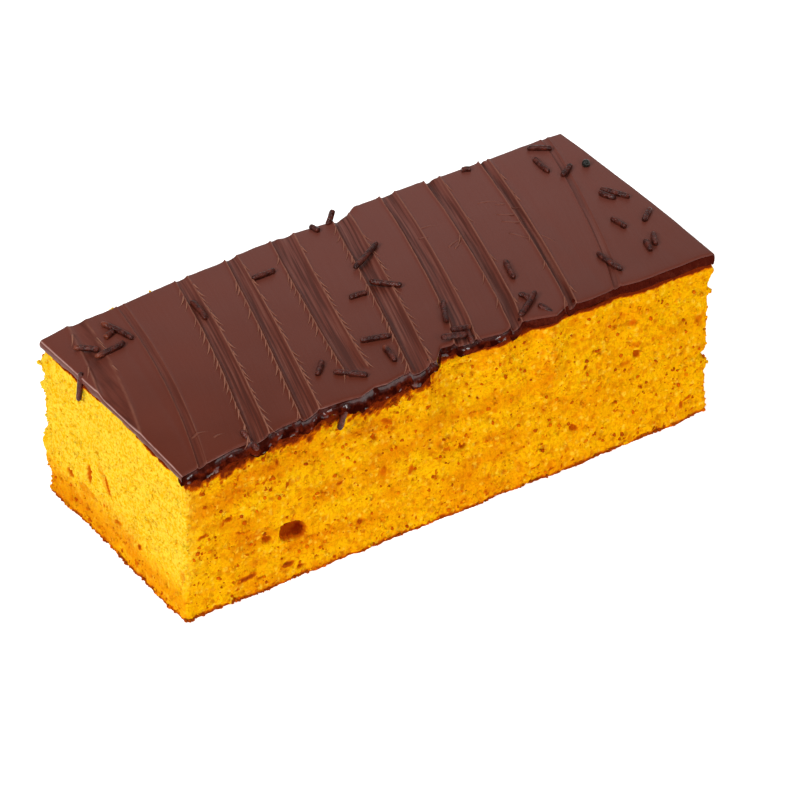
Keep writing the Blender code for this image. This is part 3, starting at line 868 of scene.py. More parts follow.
def air_hole_depth(points, normal):
    """Depth of the air holes: domed bowls, the wide ones with a flat lower edge, each on its face."""
    waver = 0.22 * cloudy(points, 1.6, 61)
    depth = np.zeros(points.shape[:-1])
    for face, along, height, width, tall in AIR_HOLES:
        beside = along_face(points, face) - along
        rise = points[..., 2] - height + AIR_HOLE_SLANT * beside
        power = np.where((rise > 0.0) | (width < FLAT_FOOTED_WIDTH), 2.0, 4.0)
        reach = np.abs(2.0 * beside / width) ** power + np.abs(2.0 * rise / tall) ** power
        reach = reach ** (2.0 / power) + waver
        bowl = np.clip(1.0 - np.clip(reach, 0.0, None) ** 2, 0.0, None) ** 0.4
        depth = np.maximum(depth, AIR_HOLE_DEPTH * min(width, tall) * bowl * on_face(normal, face))
    return depth


def crumb_relief(points, normal):
    """Depth of the torn crumb, and how deep in a pore each point lies, 0 to 1, which the colour darkens
    as painted shade.

    Soft lumps of three sizes stand out, and round pores of three sizes and the air holes go in.
    """
    warp = np.stack([cloudy(points, 2.2, seed, 2) for seed in (41, 42, 43)], axis=-1)
    torn = points + CRUMB_WARP * warp
    flat = torn * np.array([1.0, 1.0, 1.35])
    holes = np.maximum.reduce([pores(flat, *row) for row in PORES])
    calm = 1.0 - 0.6 * on_face(normal, "left", 0.7)
    holes = np.maximum(holes * calm, air_hole_depth(points, normal))
    depth = CRUMB_MEAN_DEPTH
    for size, seed, weight, mean in CRUMB_LUMPS:
        depth = depth + weight * (mean - lumps(torn, size, seed))
    depth = depth + 0.42 * (0.7 - lumps(points, 1.05, 50)) + holes
    shade = 0.8 + 0.35 * cloudy(points, 1.6, 49)
    return depth, np.clip(holes / PIT_DEPTH, 0.0, 1.0) * np.clip(shade, 0.0, 1.0)


def stained_crumb(points, normal):
    """The browned marks: soft ellipses with uneven edges, each on its own face, 0 to 1."""
    uneven = 0.45 * cloudy(points, 1.6, 55)
    marks = np.zeros(points.shape[:-1])
    for face, along, height, reach, tall, tilt, strength in STAINS:
        beside = along_face(points, face) - along
        rise = points[..., 2] - height
        turn = math.radians(tilt)
        lengthwise = (math.cos(turn) * beside + math.sin(turn) * rise) / reach
        crosswise = (math.cos(turn) * rise - math.sin(turn) * beside) / tall
        off = np.hypot(lengthwise, crosswise) + uneven
        marks = np.maximum(marks, strength * on_face(normal, face) * smooth_step(1.35, 0.5, off))
    return marks


def browned_crumb(points, normal):
    """Where the crumb is browned, and where it holds more dark specks, both 0 to 1.

    It is browned under the icing, along the bottom and in specks, and speckled near both.
    """
    x, y, z = np.moveaxis(points, -1, 0)
    uneven = cloudy(points, 2.2, 51)
    to_icing = icing_underside(x, y) - z
    on_front = on_face(normal, "front", 0.7)
    wet = on_front * (1.0 - smooth_step(*WET_SPAN, x))
    hidden = on_front * (np.interp(x, *zip(*LIP_REACH)) - ICING_THICKNESS)
    soaked = SOAK_DEPTH + SOAK_WET * wet
    below = to_icing - hidden - LIP_SHADE * on_front
    under = 1.0 - smooth_step(0.3, 1.0, below / soaked + 0.5 * uneven + 0.7 * cloudy(points, 1.2, 54))
    bottom = 1.0 - smooth_step(*BROWNED_FOOT, z + 0.8 * uneven)
    grain = cloudy(points, 1.1, 52)
    low_specks = smooth_step(*LOW_SPECK_NOISE, grain) * (1.0 - smooth_step(*LOW_SPECK_SPAN, z))
    dense = SPECK_DENSITY * wet * (1.0 - smooth_step(*SPECK_SPAN, below))
    specks = smooth_step(*SPECK_NOISE, grain + dense) * (0.12 + 0.88 * on_front)
    stains = stained_crumb(points, normal)
    browned = np.maximum.reduce([under, 0.8 * bottom, 0.8 * low_specks, 0.7 * specks, stains])
    low = 0.17 + 0.07 * smooth_step(-5.0, 15.0, y) + 0.1 * cloudy(points, 6.0, 53)
    low = low * on_face(normal, "left", 0.7) * (1.0 - smooth_step(*TANNED_FOOT, z))
    speckled = wet * (1.0 - smooth_step(*SPECKLED_BELOW, below))
    speckled = speckled + 0.5 * (1.0 - smooth_step(*SPECKLED_FOOT, z))
    return np.clip(np.maximum(browned, low), 0.0, 1.0), np.clip(speckled, 0.0, 1.0)


def bake_sponge(material):
    """The sponge, a profile of heights carried round the slab and pushed in by the crumb's relief."""
    outline, normal = slab_outline()
    share = np.linspace(0.0, 1.0, SPONGE_ROWS)[:, None]
    x = outline[:, 0] + 0.0 * share
    y = outline[:, 1] + 0.0 * share
    z = share * (icing_underside(x, y) + SEAT)
    front, back, left, right = side_insets(x, y, z)
    along = (x - LEFT_END) / (RIGHT_END - LEFT_END)
    deep = across(y)
    x = x + left * (1.0 - along) - right * along
    y = y + front * (1.0 - deep) - back * deep
    sides = np.stack([x, y, z], axis=-1)
    depth, pit = crumb_relief(sides, normal)
    browned, speckled = browned_crumb(sides, normal)
    sides[..., :2] -= depth[..., None] * normal

    base = [shrunk(sides[0], part) for part in CAP_RINGS]
    top = [shrunk(sides[-1], part) for part in CAP_RINGS]
    for ring in top:
        ring[:, 2] = icing_underside(ring[:, 0], ring[:, 1]) + SEAT
    rows = np.stack([*base[::-1], *sides, *top])
    points, faces = closed_tubes(rows[None])

    def over_caps(values):
        """A mask of the sides, continued over both caps by its outermost rows."""
        count = len(CAP_RINGS)
        whole = np.concatenate([values[:1]] * count + [values] + [values[-1:]] * count)
        return tube_mask(whole[None], 1)

    # Paler on the left cut, less so near its foot: partly the fresh cut's own colour, partly a painted
    # pool of light on that side
    fresh_and_lit = smooth_step(0.3, 0.9, -normal[:, 0]) * (0.1 + 0.9 * smooth_step(3.0, 16.0, sides[..., 2]))
    # A painted highlight down the rounded front left edge, added to the paler mask of the left cut
    edge_highlight = np.exp(-np.clip(sides[..., 0] - LEFT_END - EDGE_HIGHLIGHT_FROM, 0.0, None) / EDGE_HIGHLIGHT_REACH)
    edge_highlight = edge_highlight * smooth_step(6.0, 14.0, sides[..., 2]) * (0.75 + 0.5 * cloudy(sides, 1.4, 56))
    fresh_and_lit = np.maximum(fresh_and_lit, np.clip(edge_highlight, 0.0, 0.85) * (normal[:, 1] < -0.3))
    baked = {"pit": pit, "browned": browned, "fresh_and_lit": fresh_and_lit, "speckled": speckled}
    masks = {name: over_caps(values) for name, values in baked.items()}
    sponge = piece_from("torn_sponge", points, faces, masks, material)
    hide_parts("carrot_sponge")
    return sides, normal, baked


def icosahedron():
    """The 12 corners and 20 faces of an icosahedron of radius 1: a belt of ten between two poles."""
    rise = 1.0 / math.sqrt(5.0)
    belt = 2.0 * rise
    corners = [(0.0, 0.0, 1.0)]
    for level, offset in ((rise, 0.0), (-rise, 0.5)):
        for step in range(5):
            turn = 2.0 * math.pi * (step + offset) / 5.0
            corners.append((belt * math.cos(turn), belt * math.sin(turn), level))
    corners.append((0.0, 0.0, -1.0))
    faces = []
    for step in range(5):
        after = (step + 1) % 5
        upper, upper_after, lower, lower_after = 1 + step, 1 + after, 6 + step, 6 + after
        faces += [(0, upper, upper_after), (upper, lower, upper_after)]
        faces += [(lower, lower_after, upper_after), (11, lower_after, lower)]
    return np.array(corners), np.array(faces)


def scatter_crumbs(sides, normal, masks, material):
    """Crumbs clinging to the cut faces: uneven little balls half sunk in them, thickest at the foot."""
    draw = np.random.default_rng(8)
    rows, columns = sides.shape[:2]
    row = draw.integers(2, rows - 6, CRUMB_COUNT)
    low = draw.uniform(size=CRUMB_COUNT) < CRUMB_LOW_SHARE
    row = np.where(low, draw.integers(0, 3, CRUMB_COUNT), row)
    column = draw.integers(0, columns, CRUMB_COUNT)
    clear = masks["pit"][row, column] < 0.4
    row, column = row[clear], column[clear]
    loose = len(row)
    corners, faces = icosahedron()
    small, large = CRUMB_RADIUS
    radius = small + (large - small) * draw.uniform(size=loose) ** 2.4
    centre = sides[row, column].copy()
    centre[:, :2] += 0.12 * radius[:, None] * normal[column]
    centre[:, 2] = np.maximum(centre[:, 2], 0.9 * radius)
    named = np.repeat(np.array(EDGE_CRUMBS), EDGE_CRUMB_PIECES, axis=0)
    named[:, :3] += 0.5 * named[:, 3:] * draw.uniform(-1.0, 1.0, (len(named), 3))
    named[:, 3] *= draw.uniform(0.35, 0.65, len(named))
    centre = np.concatenate([centre, named[:, :3]])
    radius = np.concatenate([radius, named[:, 3]])
    count = len(radius)
    corner_count = len(corners)
    uneven = 1.0 + CRUMB_UNEVEN * draw.uniform(-1.0, 1.0, (count, corner_count, 1))
    stretch = draw.uniform(*CRUMB_STRETCH, (count, 1, 3))
    points = centre[:, None] + radius[:, None, None] * corners * uneven * stretch
    points[..., 2] = np.maximum(points[..., 2], 0.02)
    spread = {name: np.zeros(count) for name in masks}
    for name, values in masks.items():
        spread[name][:loose] = values[row, column]
    spread["pit"][:loose] *= 0.25 * draw.uniform(size=loose)
    tanned = (0.25 + 0.5 * draw.uniform(size=loose)) * (draw.uniform(size=loose) < CRUMB_TANNED)
    tanned *= 1.0 - np.clip(1.3 * spread["fresh_and_lit"][:loose], 0.0, 1.0)
    spread["browned"][:loose] = np.maximum(spread["browned"][:loose], tanned)
    # The bigger crumbs at the edges take the left cut's paler gold, which is partly painted light
    spread["fresh_and_lit"][loose:] = 0.7
    spread = {name: np.repeat(values, corner_count) for name, values in spread.items()}
    all_faces = (corner_count * np.arange(count)[:, None, None] + faces).reshape(-1, 3).tolist()
    piece_from("clinging_crumbs", points.reshape(-1, 3), all_faces, spread, material)


# ---- The icing


def ridge_lines():
    """Front x, back x and bow of both ridges of every groove that starts on the front rim."""
    lines = [(LEFT_END, LEFT_END, 0.0)]
    for front_x, back_x, bow, front_width, back_width, *_ in GROOVES[1:]:
        for side in (-0.5, 0.5):
            lines.append((front_x + side * front_width, back_x + side * back_width, bow))
    lines.append((RIGHT_END, RIGHT_END, 0.0))
    return np.array(lines).T


def along_spatula(front_x, y):
    """x of the line that leaves the front rim at front_x and runs along the grooves, bowed alike."""
    fronts, backs, bows = ridge_lines()
    share = across(y)
    bow = np.interp(front_x, fronts, bows)
    return front_x + (np.interp(front_x, fronts, backs) - front_x) * share + bowed(bow, share)


def icing_columns():
    """Front x of each column: spaced by its mean width, and closer near the ridges and the ends."""
    fronts, backs, _ = ridge_lines()
    fine = np.linspace(LEFT_END, RIGHT_END, 8001)
    fan = (1.0 + np.gradient(np.interp(fine, fronts, backs), fine)) / 2.0
    to_ridge = np.abs(fine[:, None] - fronts).min(axis=1)
    crowd = 1.0 + RIDGE_CROWDING * np.exp(-((to_ridge / RIDGE_CROWDING_REACH) ** 2))
    weight = np.cumsum(fan * crowd)
    return np.interp(np.linspace(weight[0], weight[-1], ICING_COLUMNS), weight, fine)


def worked_top(x, y):
    """Height of the worked icing, and how close each point lies to a crest and in a channel, 0 to 1.

    Channels as in the plain top; each ridge has a thin wavering crest on a soft shoulder. Creases
    are shallow bells, and lumps stand at the back ends of some grooves.
    """
    place = np.stack([x, y, 0.0 * x], axis=-1)
    waver = 1.0 + CREST_WAVER * cloudy(place, 2.2, 71)
    marks, crest, groove = 0.0, 0.0, 0.0
    for number, (depth, side, half) in enumerate(groove_places(x, y)):
        channel = np.clip(1.0 - side**4, 0.0, None)
        skew = 1.0 - GROOVE_SKEW * np.clip(side, -1.0, 1.0)
        off_ridge = (np.abs(side) - 1.0) * half
        shoulder = np.exp(-((off_ridge / SHOULDER_WIDTH) ** 2))
        sharp = np.exp(-np.abs(off_ridge) / CREST_WIDTH) * np.clip(depth / CREST_DEPTH, 0.0, 1.0)
        if number == 0:
            sharp = 0.5 * shoulder
        marks = marks + depth * skew * (SHOULDER_SHARE * shoulder - channel)
        marks = marks + sharp * waver * np.where(side < 0.0, *CREST_HEIGHTS)
        crest = np.maximum(crest, sharp * (0.6 + 0.4 * waver))
        groove = np.maximum(groove, channel * np.clip(depth / CREST_DEPTH, 0.0, 1.0))
    for front_x, back_x, depth, width in CREASES:
        off_crease = x - front_x - (back_x - front_x) * across(y)
        marks = marks - depth * np.exp(-((off_crease / width) ** 2))
    for lump_x, height, width in BACK_LUMPS:
        near = np.exp(-(((x - lump_x) / width) ** 2) - np.clip(BACK - y, 0.0, None) / BACK_LUMP_REACH)
        marks = marks + height * near
    to_edge = np.clip(edge_distance(x, y), 0.0, None)
    corner = 1.0 - np.sqrt(1.0 - np.clip(1.0 - to_edge / RIM_CORNER, 0.0, 1.0) ** 2)
    rounding = 0.5 * RIM_ROUNDING * np.exp(-to_edge / RIM_ROUNDING_REACH) + 0.4 * corner
    wave = BAND_WAVE * waves(x, y, 72) + 0.12 * cloudy(place, 3.0, 74) * np.exp(-(BACK - y) / 2.5)
    height = icing_level(x, y) + marks + wave - rounding
    return height, np.clip(crest, 0.0, 1.0), np.clip(groove, 0.0, 1.0)


def rim_highlight_line(x, y):
    """How strong the painted highlight on the icing's thin edge is: a line along the left rim, and a
    fainter one at the front.
    """
    waver = 1.0 + 0.5 * cloudy(np.stack([x, y, 0.0 * x], axis=-1), 2.8, 75)
    left = np.exp(-np.clip(x - LEFT_END, 0.0, None) / RIM_LINE_LEFT)
    front = 0.5 * np.exp(-np.clip(y - FRONT, 0.0, None) / RIM_LINE_FRONT)
    front = front * (1.0 - smooth_step(-6.0, 12.0, x))
    return np.clip(np.maximum(left, front) * waver, 0.0, 1.0)


def spread_icing(material):
    """The icing: a sheet of columns along the grooves, walls down its four edges and an underside."""
    front_x = icing_columns()
    edge = np.array(EDGE_ROWS)
    inner = np.linspace(FRONT + INNER_ROWS_FROM, BACK - INNER_ROWS_FROM, ICING_ROWS - 2 * len(edge))
    rows = np.concatenate([FRONT + edge, inner, BACK - edge[::-1]])
    start_x, y = np.meshgrid(front_x, rows)
    x = along_spatula(start_x, y)
    z, crest, groove = worked_top(x, y)
    lengthwise = np.stack([start_x, 0.05 * y, 0.0 * y], axis=-1)
    streaks = cloudy(lengthwise, 1.5, 73)
    z = z + STREAK_DEPTH * streaks * (0.15 + 0.85 * groove)
    bulged = x + right_bulge(y) * smooth_step(RIGHT_END - EDGE_REACH, RIGHT_END, x)
    sheet = np.stack([bulged, sheared_to_rims(x, y), z], axis=-1)

    loop = [(0, slice(0, -1)), (slice(0, -1), -1), (-1, slice(-1, 0, -1)), (slice(-1, 0, -1), 0)]
    rim = np.concatenate([sheet[part] for part in loop])
    flat_y = np.concatenate([y[part] for part in loop])
    outward = np.concatenate(
        [np.tile(way, (len(sheet[part]), 1)) for way, part in zip(FACE_NORMALS.values(), loop)]
    )
    under = icing_underside(rim[:, 0], flat_y)
    rings = []
    for share in WALL_SHARES:
        ring = rim.copy()
        ragged = WALL_WAVE * (waves(flat_y * 3.0, share * 9.0 + 0.0 * flat_y, 13) - 1.0)
        plump = WALL_BULGE * math.sin(math.pi * share) + ragged * (1.0 - share)
        tucked = -FRONT_TUCK * (outward[:, 1] < -0.5) * min(1.0, 4.0 * (1.0 - share))
        ring[:, :2] += (plump + tucked)[:, None] * outward
        ring[:, 2] = under + share * (rim[:, 2] - under)
        rings.append(ring)
    foot = rings[-1]
    for part in UNDERSIDE_RINGS:
        ring = shrunk(foot, part)
        ring[:, 2] = icing_underside(ring[:, 0], ring[:, 1])
        rings.append(ring)
    below = np.array([*MIDDLE, float(icing_level(*MIDDLE)) - ICING_THICKNESS])

    number = np.arange(sheet.shape[0] * sheet.shape[1]).reshape(sheet.shape[:2])
    upper = np.concatenate([number[part] for part in loop])
    around = len(upper)
    top_count = number.size
    faces = grid_faces(*sheet.shape[:2], False).tolist()
    for step in range(len(rings)):
        lower = top_count + step * around + np.arange(around)
        quads = np.stack([lower, np.roll(lower, -1), np.roll(upper, -1), upper], axis=1)
        faces += quads.tolist()
        upper = lower
    pole = np.full(around, top_count + len(rings) * around)
    faces += np.stack([pole, np.roll(upper, -1), upper], axis=1).tolist()
    points = np.concatenate([sheet.reshape(-1, 3), *rings, below[None]])

    hidden = len(points) - top_count
    spread = np.stack([start_x, y, 0.0 * y], axis=-1).reshape(-1, 3)
    walls = [np.column_stack([ring[:, 0], flat_y, ring[:, 2]]) for ring in rings]
    masks = {
        "crest": np.concatenate([crest.ravel(), np.zeros(hidden)]),
        "groove": np.concatenate([groove.ravel(), np.zeros(hidden)]),
        "rim": np.concatenate([rim_highlight_line(x, y).ravel(), np.zeros(hidden)]),
        "spread": np.concatenate([spread, *walls, below[None]]),
    }
    icing = piece_from("spread_icing", points, faces, masks, material)
    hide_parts("chocolate_icing")


def low_folds(path_x, path_y, width, height, lift):
    """Rings of folds along paths on the icing: ellipses, half sunk in it, that shrink at both ends."""
    stations = path_x.shape[1]
    share = np.linspace(0.0, 1.0, stations)[None, :, None]
    step_x = np.gradient(path_x, axis=1)
    step_y = np.gradient(path_y, axis=1)
    along = np.sqrt(step_x**2 + step_y**2)
    turn = full_turn(BARB_RING)
    beside = width[..., None, None] * share_of_body(share) * np.cos(turn)
    above = height[..., None, None] * share_of_body(share) * np.sin(turn)
    place_x = path_x[..., None] + beside * (step_y / along)[..., None]
    place_y = path_y[..., None] - beside * (step_x / along)[..., None]
    top = worked_top(path_x, np.clip(path_y, FRONT, BACK))[0]
    place_z = top[..., None] + above + lift * share_of_body(share)
    return np.stack([place_x, sheared_to_rims(place_x, place_y), place_z], axis=-1)


def share_of_body(share):
    """Thickness along a fold: full near its root, thin at its tip."""
    return np.sin(math.pi * np.clip(share + 0.15, 0.0, 1.0)) ** 0.6 * (1.0 - 0.8 * share) + 0.03


def push_barbs(material):
    """Barbs off both ridges of each deep groove, which lean forwards and outwards, and thin smears.

    Each barb starts on a ridge and turns away from it by a growing angle.
    """
    draw = np.random.default_rng(14)
    starts = []
    for row in GROOVES:
        front_x, back_x, *_, depth, _, start = row
        if depth < CREST_DEPTH:
            continue
        for side in (-1.0, 1.0):
            spots = np.arange(FRONT + start + 3.0, BACK - 1.0, BARB_SPACING)
            spots = spots + draw.uniform(-0.9, 0.9, len(spots))
            share = across(spots)
            middle, half = groove_line(row, share)
            slope = (back_x - front_x) / (BACK - FRONT)
            common = BARB_SHARE_RIGHT if front_x > 0.0 else 1.0
            keep = draw.uniform(size=len(spots)) < common * (1.0 - 0.3 * share)
            roots = np.column_stack([middle + side * half, spots, 0 * spots + side, 0 * spots + slope])
            starts.append(roots[keep & (np.abs(middle) < BARB_BOUND)])
    x, y, side, slope = np.concatenate(starts).T[:, :, None]
    count = len(x)
    length = draw.uniform(*BARB_LENGTH, (count, 1)) * np.where(side < 0.0, 1.0, 0.8)
    lean = np.radians(draw.uniform(*BARB_LEAN, (count, 1)))
    share = np.linspace(0.0, 1.0, BARB_STATIONS)[None, :]
    heading = np.arctan(slope) - side * lean * (0.3 + share)
    step = length / (BARB_STATIONS - 1)
    path_x = x - np.cumsum(np.sin(heading) * step, axis=1)
    path_y = y - np.cumsum(np.cos(heading) * step, axis=1)
    size = draw.uniform(0.55, 1.2, count) * np.where(side[:, 0] < 0.0, 1.0, 0.75)
    barbs = low_folds(path_x, path_y, BARB_WIDTH * size, BARB_HEIGHT * size, 0.12)

    start_x, start_y, end_x, end_y, bend = np.array(SMEARS).T[:, :, None]
    length = np.hypot(end_x - start_x, end_y - start_y)
    bow = bowed(bend, share) / length
    path_x = start_x + share * (end_x - start_x) + bow * (start_y - end_y)
    path_y = start_y + share * (end_y - start_y) + bow * (end_x - start_x)
    even = np.ones(len(SMEARS))
    smears = low_folds(path_x, path_y, 0.5 * even, 0.14 * even, 0.0)
    points, faces = closed_tubes(np.concatenate([barbs, smears]))
    # The barbs and smears count as crest, more on their upper sides: a painted highlight along their
    # tops
    turned_up = np.sin(full_turn(BARB_RING))
    ridge = np.tile(0.5 + 0.3 * turned_up, (len(barbs) + len(smears), BARB_STATIONS, 1))
    ridge[len(barbs) :] *= 0.6
    masks = {
        "crest": tube_mask(ridge, len(barbs) + len(smears)),
        "groove": np.zeros(len(points)),
        "spread": points,
    }
    piece_from("spatula_barbs", points, faces, masks, material)


def hang_lip(material):
    """The wet lip along the front rim: a rounded bar whose outer side is blobby and torn below.

    Its section is a superellipse as high as the lip reaches, with a foot that stands out; lumps of
    two sizes push its outside out and its lower edge down, most on the left half.
    """
    columns = round((RIGHT_END - LEFT_END) / LIP_CELL)
    x = np.linspace(LEFT_END + 0.15, RIGHT_END - 0.1, columns)[:, None]
    turn = full_turn(LIP_RING)[None, :]
    rough = 1.0 - (1.0 - LIP_SMOOTH_SHARE) * smooth_step(*LIP_ROUGH_SPAN, x)
    line = np.stack([x, 0.0 * x, 0.0 * x], axis=-1)
    scallop = lumps(line, LIP_SCALLOPS[0], 81) - 0.6 + 0.7 * (lumps(line, LIP_SCALLOPS[1], 82) - 0.6)
    reach = np.interp(x, *zip(*LIP_REACH)) + 1.6 * rough * scallop
    cosine, sine = np.cos(turn), np.sin(turn)
    inward = np.sign(cosine) * np.abs(cosine) ** LIP_SQUARENESS
    upward = np.sign(sine) * np.abs(sine) ** LIP_SQUARENESS
    top_edge = worked_top(x, 0.0 * x + FRONT + 0.35)[0]
    high = top_edge - 0.2
    low = top_edge - reach
    z = (high + low) / 2.0 + (high - low) / 2.0 * upward
    y = sheared_to_rims(x, 0.0 * x + FRONT) + LIP_HALF_DEPTH * (0.9 + inward)
    surface = np.stack([x + 0.0 * z, y, z], axis=-1)
    foot = LIP_FOOT * (smooth_step(-0.9, -0.35, upward) - smooth_step(-0.2, 0.55, upward))
    blob = LIP_BLOB * (lumps(surface, LIP_LUMPS[0], 83) - 0.6)
    blob = blob + 0.45 * (lumps(surface, LIP_LUMPS[1], 84) - 0.6)
    push = rough * (foot + blob * smooth_step(0.45, -0.5, upward))
    y = y + push * np.minimum(cosine, 0.0)
    z = z + 0.5 * push * np.minimum(sine, 0.0)
    rings = np.stack([x + 0.0 * z, y, z], axis=-1)[None]
    points, faces = closed_tubes(rings)
    wet = rough * smooth_step(0.0, 0.5, upward)
    masks = {"wet": tube_mask(wet[None], 1), "ragged": tube_mask((rough - wet)[None], 1)}
    piece_from("wet_lip", points, faces, masks, material)


# ---- The sprinkles


def resting_line(x, y, heading, length):
    """Both ends of a rod that lies on the icing, raised until it sinks in nowhere too far."""
    half = 0.5 * length * np.array([math.cos(math.radians(heading)), math.sin(math.radians(heading))])
    share = np.linspace(-1.0, 1.0, 9)
    under = icing_top(x + share * half[0], y + share * half[1])
    slope = (under[-2:].mean() - under[:2].mean()) / 2.0
    raise_by = np.max(under - slope * share) + SPRINKLE_THICKNESS / 2.0 - SPRINKLE_SINK
    return [
        (x + side * half[0], y + side * half[1], raise_by + side * slope) for side in (-1.0, 1.0)
    ]


def strew_sprinkles(material):
    """The sprinkles: rods bent along a parabola, grainy all over and blunt at both ends."""
    draw = np.random.default_rng(3)
    rods = [(*resting_line(*row), draw.uniform(-SPRINKLE_BEND, SPRINKLE_BEND)) for row in SPRINKLES]
    rods += [(start, end, 0.0) for start, end in HANGING_SPRINKLES]
    share = np.sin(np.linspace(-math.pi / 2.0, math.pi / 2.0, SPRINKLE_STATIONS))[:, None]
    turn = full_turn(SPRINKLE_RING)[None, :]
    blunt = (1.0 - np.abs(share) ** SPRINKLE_BLUNTNESS * 0.985) ** 0.5
    rings = []
    for number, (start, end, bend) in enumerate(rods):
        start, end = Vector(start), Vector(end)
        length = (end - start).length
        turned = np.array((end - start).to_track_quat("Z", "Y").to_matrix())
        place = np.stack([turn + 9.0 * number + 0.0 * share, share * length / 2.0 + 0.0 * turn], axis=-1)
        place = np.concatenate([place, 0.0 * place[..., :1]], axis=-1)
        grainy = 1.0 + SPRINKLE_GRAIN * cloudy(place, 1.3, 91, 2)
        radius = SPRINKLE_THICKNESS / 2.0 * blunt * grainy
        local = np.stack(
            [
                radius * np.cos(turn) + bend * (1.0 - share**2),
                radius * np.sin(turn),
                share * length / 2.0 + 0.0 * turn,
            ],
            axis=-1,
        )
        rings.append(local @ turned.T + np.array((start + end) / 2.0))
    points, faces = closed_tubes(np.stack(rings))
    # Some ends painted orange-red with the light they pick up
    end_glow = np.zeros((len(rods), SPRINKLE_STATIONS, SPRINKLE_RING))
    for number, end in GLOWING_ENDS:
        end_glow[number] = 0.85 * smooth_step(0.35, 0.95, end * share)
    masks = {"end_glow": tube_mask(end_glow, len(rods))}
    sprinkles = piece_from("chocolate_sprinkles", points, faces, masks, material)
    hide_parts("chocolate_icing")


def drop_sugar_ball(material):
    """The one round sugar ball, its radius dimpled a little."""
    share = np.linspace(-1.0, 1.0, SUGAR_BALL_STATIONS)[1:-1, None] * math.pi / 2.0
    turn = full_turn(SUGAR_BALL_RING)[None, :]
    way = np.stack(
        [np.cos(share) * np.cos(turn), np.cos(share) * np.sin(turn), np.sin(share) + 0.0 * turn],
        axis=-1,
    )
    x, y = SUGAR_BALL
    middle = np.array([x, y, float(icing_top(np.array(x), np.array(y))) + 0.3 * SUGAR_BALL_WIDTH])
    radius = SUGAR_BALL_WIDTH / 2.0 * (1.0 + 0.05 * cloudy(way, 0.6, 92, 2))
    points, faces = closed_tubes((middle + radius[..., None] * way)[None])
    piece_from("sugar_ball", points, faces, {}, material)


# ---- Materials


def add_node(tree, kind, inputs=None, **settings):
    """A shader node with its settings, its inputs given as values or as sockets to link."""
    made = tree.nodes.new("ShaderNode" + kind)
    for name, value in settings.items():
        setattr(made, name, value)
    for name, value in (inputs or {}).items():
        if isinstance(value, bpy.types.NodeSocket):
            tree.links.new(value, made.inputs[name])
        else:
            made.inputs[name].default_value = value
    return made


def blended(tree, share, first, second):
    """A mix of two colours by a share from 0 to 1."""
    mix = add_node(tree, "Mix", data_type="RGBA", clamp_factor=True)
    for number, value in ((0, share), (6, first), (7, second)):
        if isinstance(value, bpy.types.NodeSocket):
            tree.links.new(value, mix.inputs[number])
        else:
            mix.inputs[number].default_value = value
    return mix.outputs[2]


def computed(tree, operation, *terms):
    """One sum of two or three numbers or sockets."""
    made = add_node(tree, "Math", dict(enumerate(terms)), operation=operation)
    return made.outputs[0]


def spread_over(tree, value, low, high):
    """A value's range from low to high stretched to 0 to 1."""
    made = add_node(tree, "MapRange", {"Value": value, "From Min": low, "From Max": high})
    made.interpolation_type = "SMOOTHSTEP"
    return made.outputs["Result"]


def noise(tree, vector, scale, detail):
    """The outputs of a soft noise texture."""
    return add_node(tree, "TexNoise", {"Vector": vector, "Scale": scale, "Detail": detail}).outputs


def mask_of(tree, name):
    """A mask stored on the mesh's points."""
    return add_node(tree, "Attribute", attribute_name=name).outputs["Fac"]


def group_grain():
    """Two sizes of soft noise and a cell texture at a given grain: puts out a tone and a height."""
    group = bpy.data.node_groups.new("grain", "ShaderNodeTree")
    group.interface.new_socket("Vector", in_out="INPUT", socket_type="NodeSocketVector")
    for name in ("Grain", "Cells"):
        group.interface.new_socket(name, in_out="INPUT", socket_type="NodeSocketFloat")
    for name in ("Tone", "Height"):
        group.interface.new_socket(name, in_out="OUTPUT", socket_type="NodeSocketFloat")
    given = group.nodes.new("NodeGroupInput")
    result = group.nodes.new("NodeGroupOutput")
    vector, grain, cells = (given.outputs[name] for name in ("Vector", "Grain", "Cells"))
    broad = noise(group, vector, grain, 4.0)["Fac"]
    finer = computed(group, "MULTIPLY", grain, 3.3)
    fine = noise(group, vector, finer, 2.0)["Fac"]
    pits = add_node(group, "TexVoronoi", {"Vector": vector, "Scale": finer}, feature="SMOOTH_F1")
    pits.inputs["Smoothness"].default_value = 0.4
    rounded = computed(group, "MULTIPLY", pits.outputs["Distance"], cells)
    height = computed(group, "SUBTRACT", fine, rounded)
    height = computed(group, "ADD", height, broad)
    group.links.new(broad, result.inputs["Tone"])
    group.links.new(height, result.inputs["Height"])
    return group


def new_material(name):
    """An empty material with a Principled shader: the material, its node tree and the shader."""
    material = bpy.data.materials.new(name)
    material.use_nodes = True
    tree = material.node_tree
    return material, tree, tree.nodes["Principled BSDF"]


def place_grain(tree, group, vector, grain, cells):
    """The grain group placed in a material with its own values."""
    placed = tree.nodes.new("ShaderNodeGroup")
    placed.node_tree = group
    tree.links.new(vector, placed.inputs["Vector"])
    placed.inputs["Grain"].default_value = grain
    placed.inputs["Cells"].default_value = cells
    return placed.outputs


def bump(tree, height, distance, strength, normal=None):
    """A Bump node over a height, its distance in metres."""
    made = add_node(tree, "Bump", {"Height": height, "Distance": distance, "Strength": strength})
    if normal is not None:
        tree.links.new(normal, made.inputs["Normal"])
    return made.outputs["Normal"]


def finish_shader(tree, shader, color, normal, rough, shine):
    """A shader's colour, normal, roughness (a number or a socket) and specular level."""
    tree.links.new(color, shader.inputs["Base Color"])
    tree.links.new(normal, shader.inputs["Normal"])
    shader.inputs["Specular IOR Level"].default_value = shine
    if isinstance(rough, bpy.types.NodeSocket):
        tree.links.new(rough, shader.inputs["Roughness"])
    else:
        shader.inputs["Roughness"].default_value = rough


def tinted(tree, color, mask, low, high, tint):
    """A colour turned to a tint where a mask goes from low to high."""
    return blended(tree, spread_over(tree, mask, low, high), color, tint)


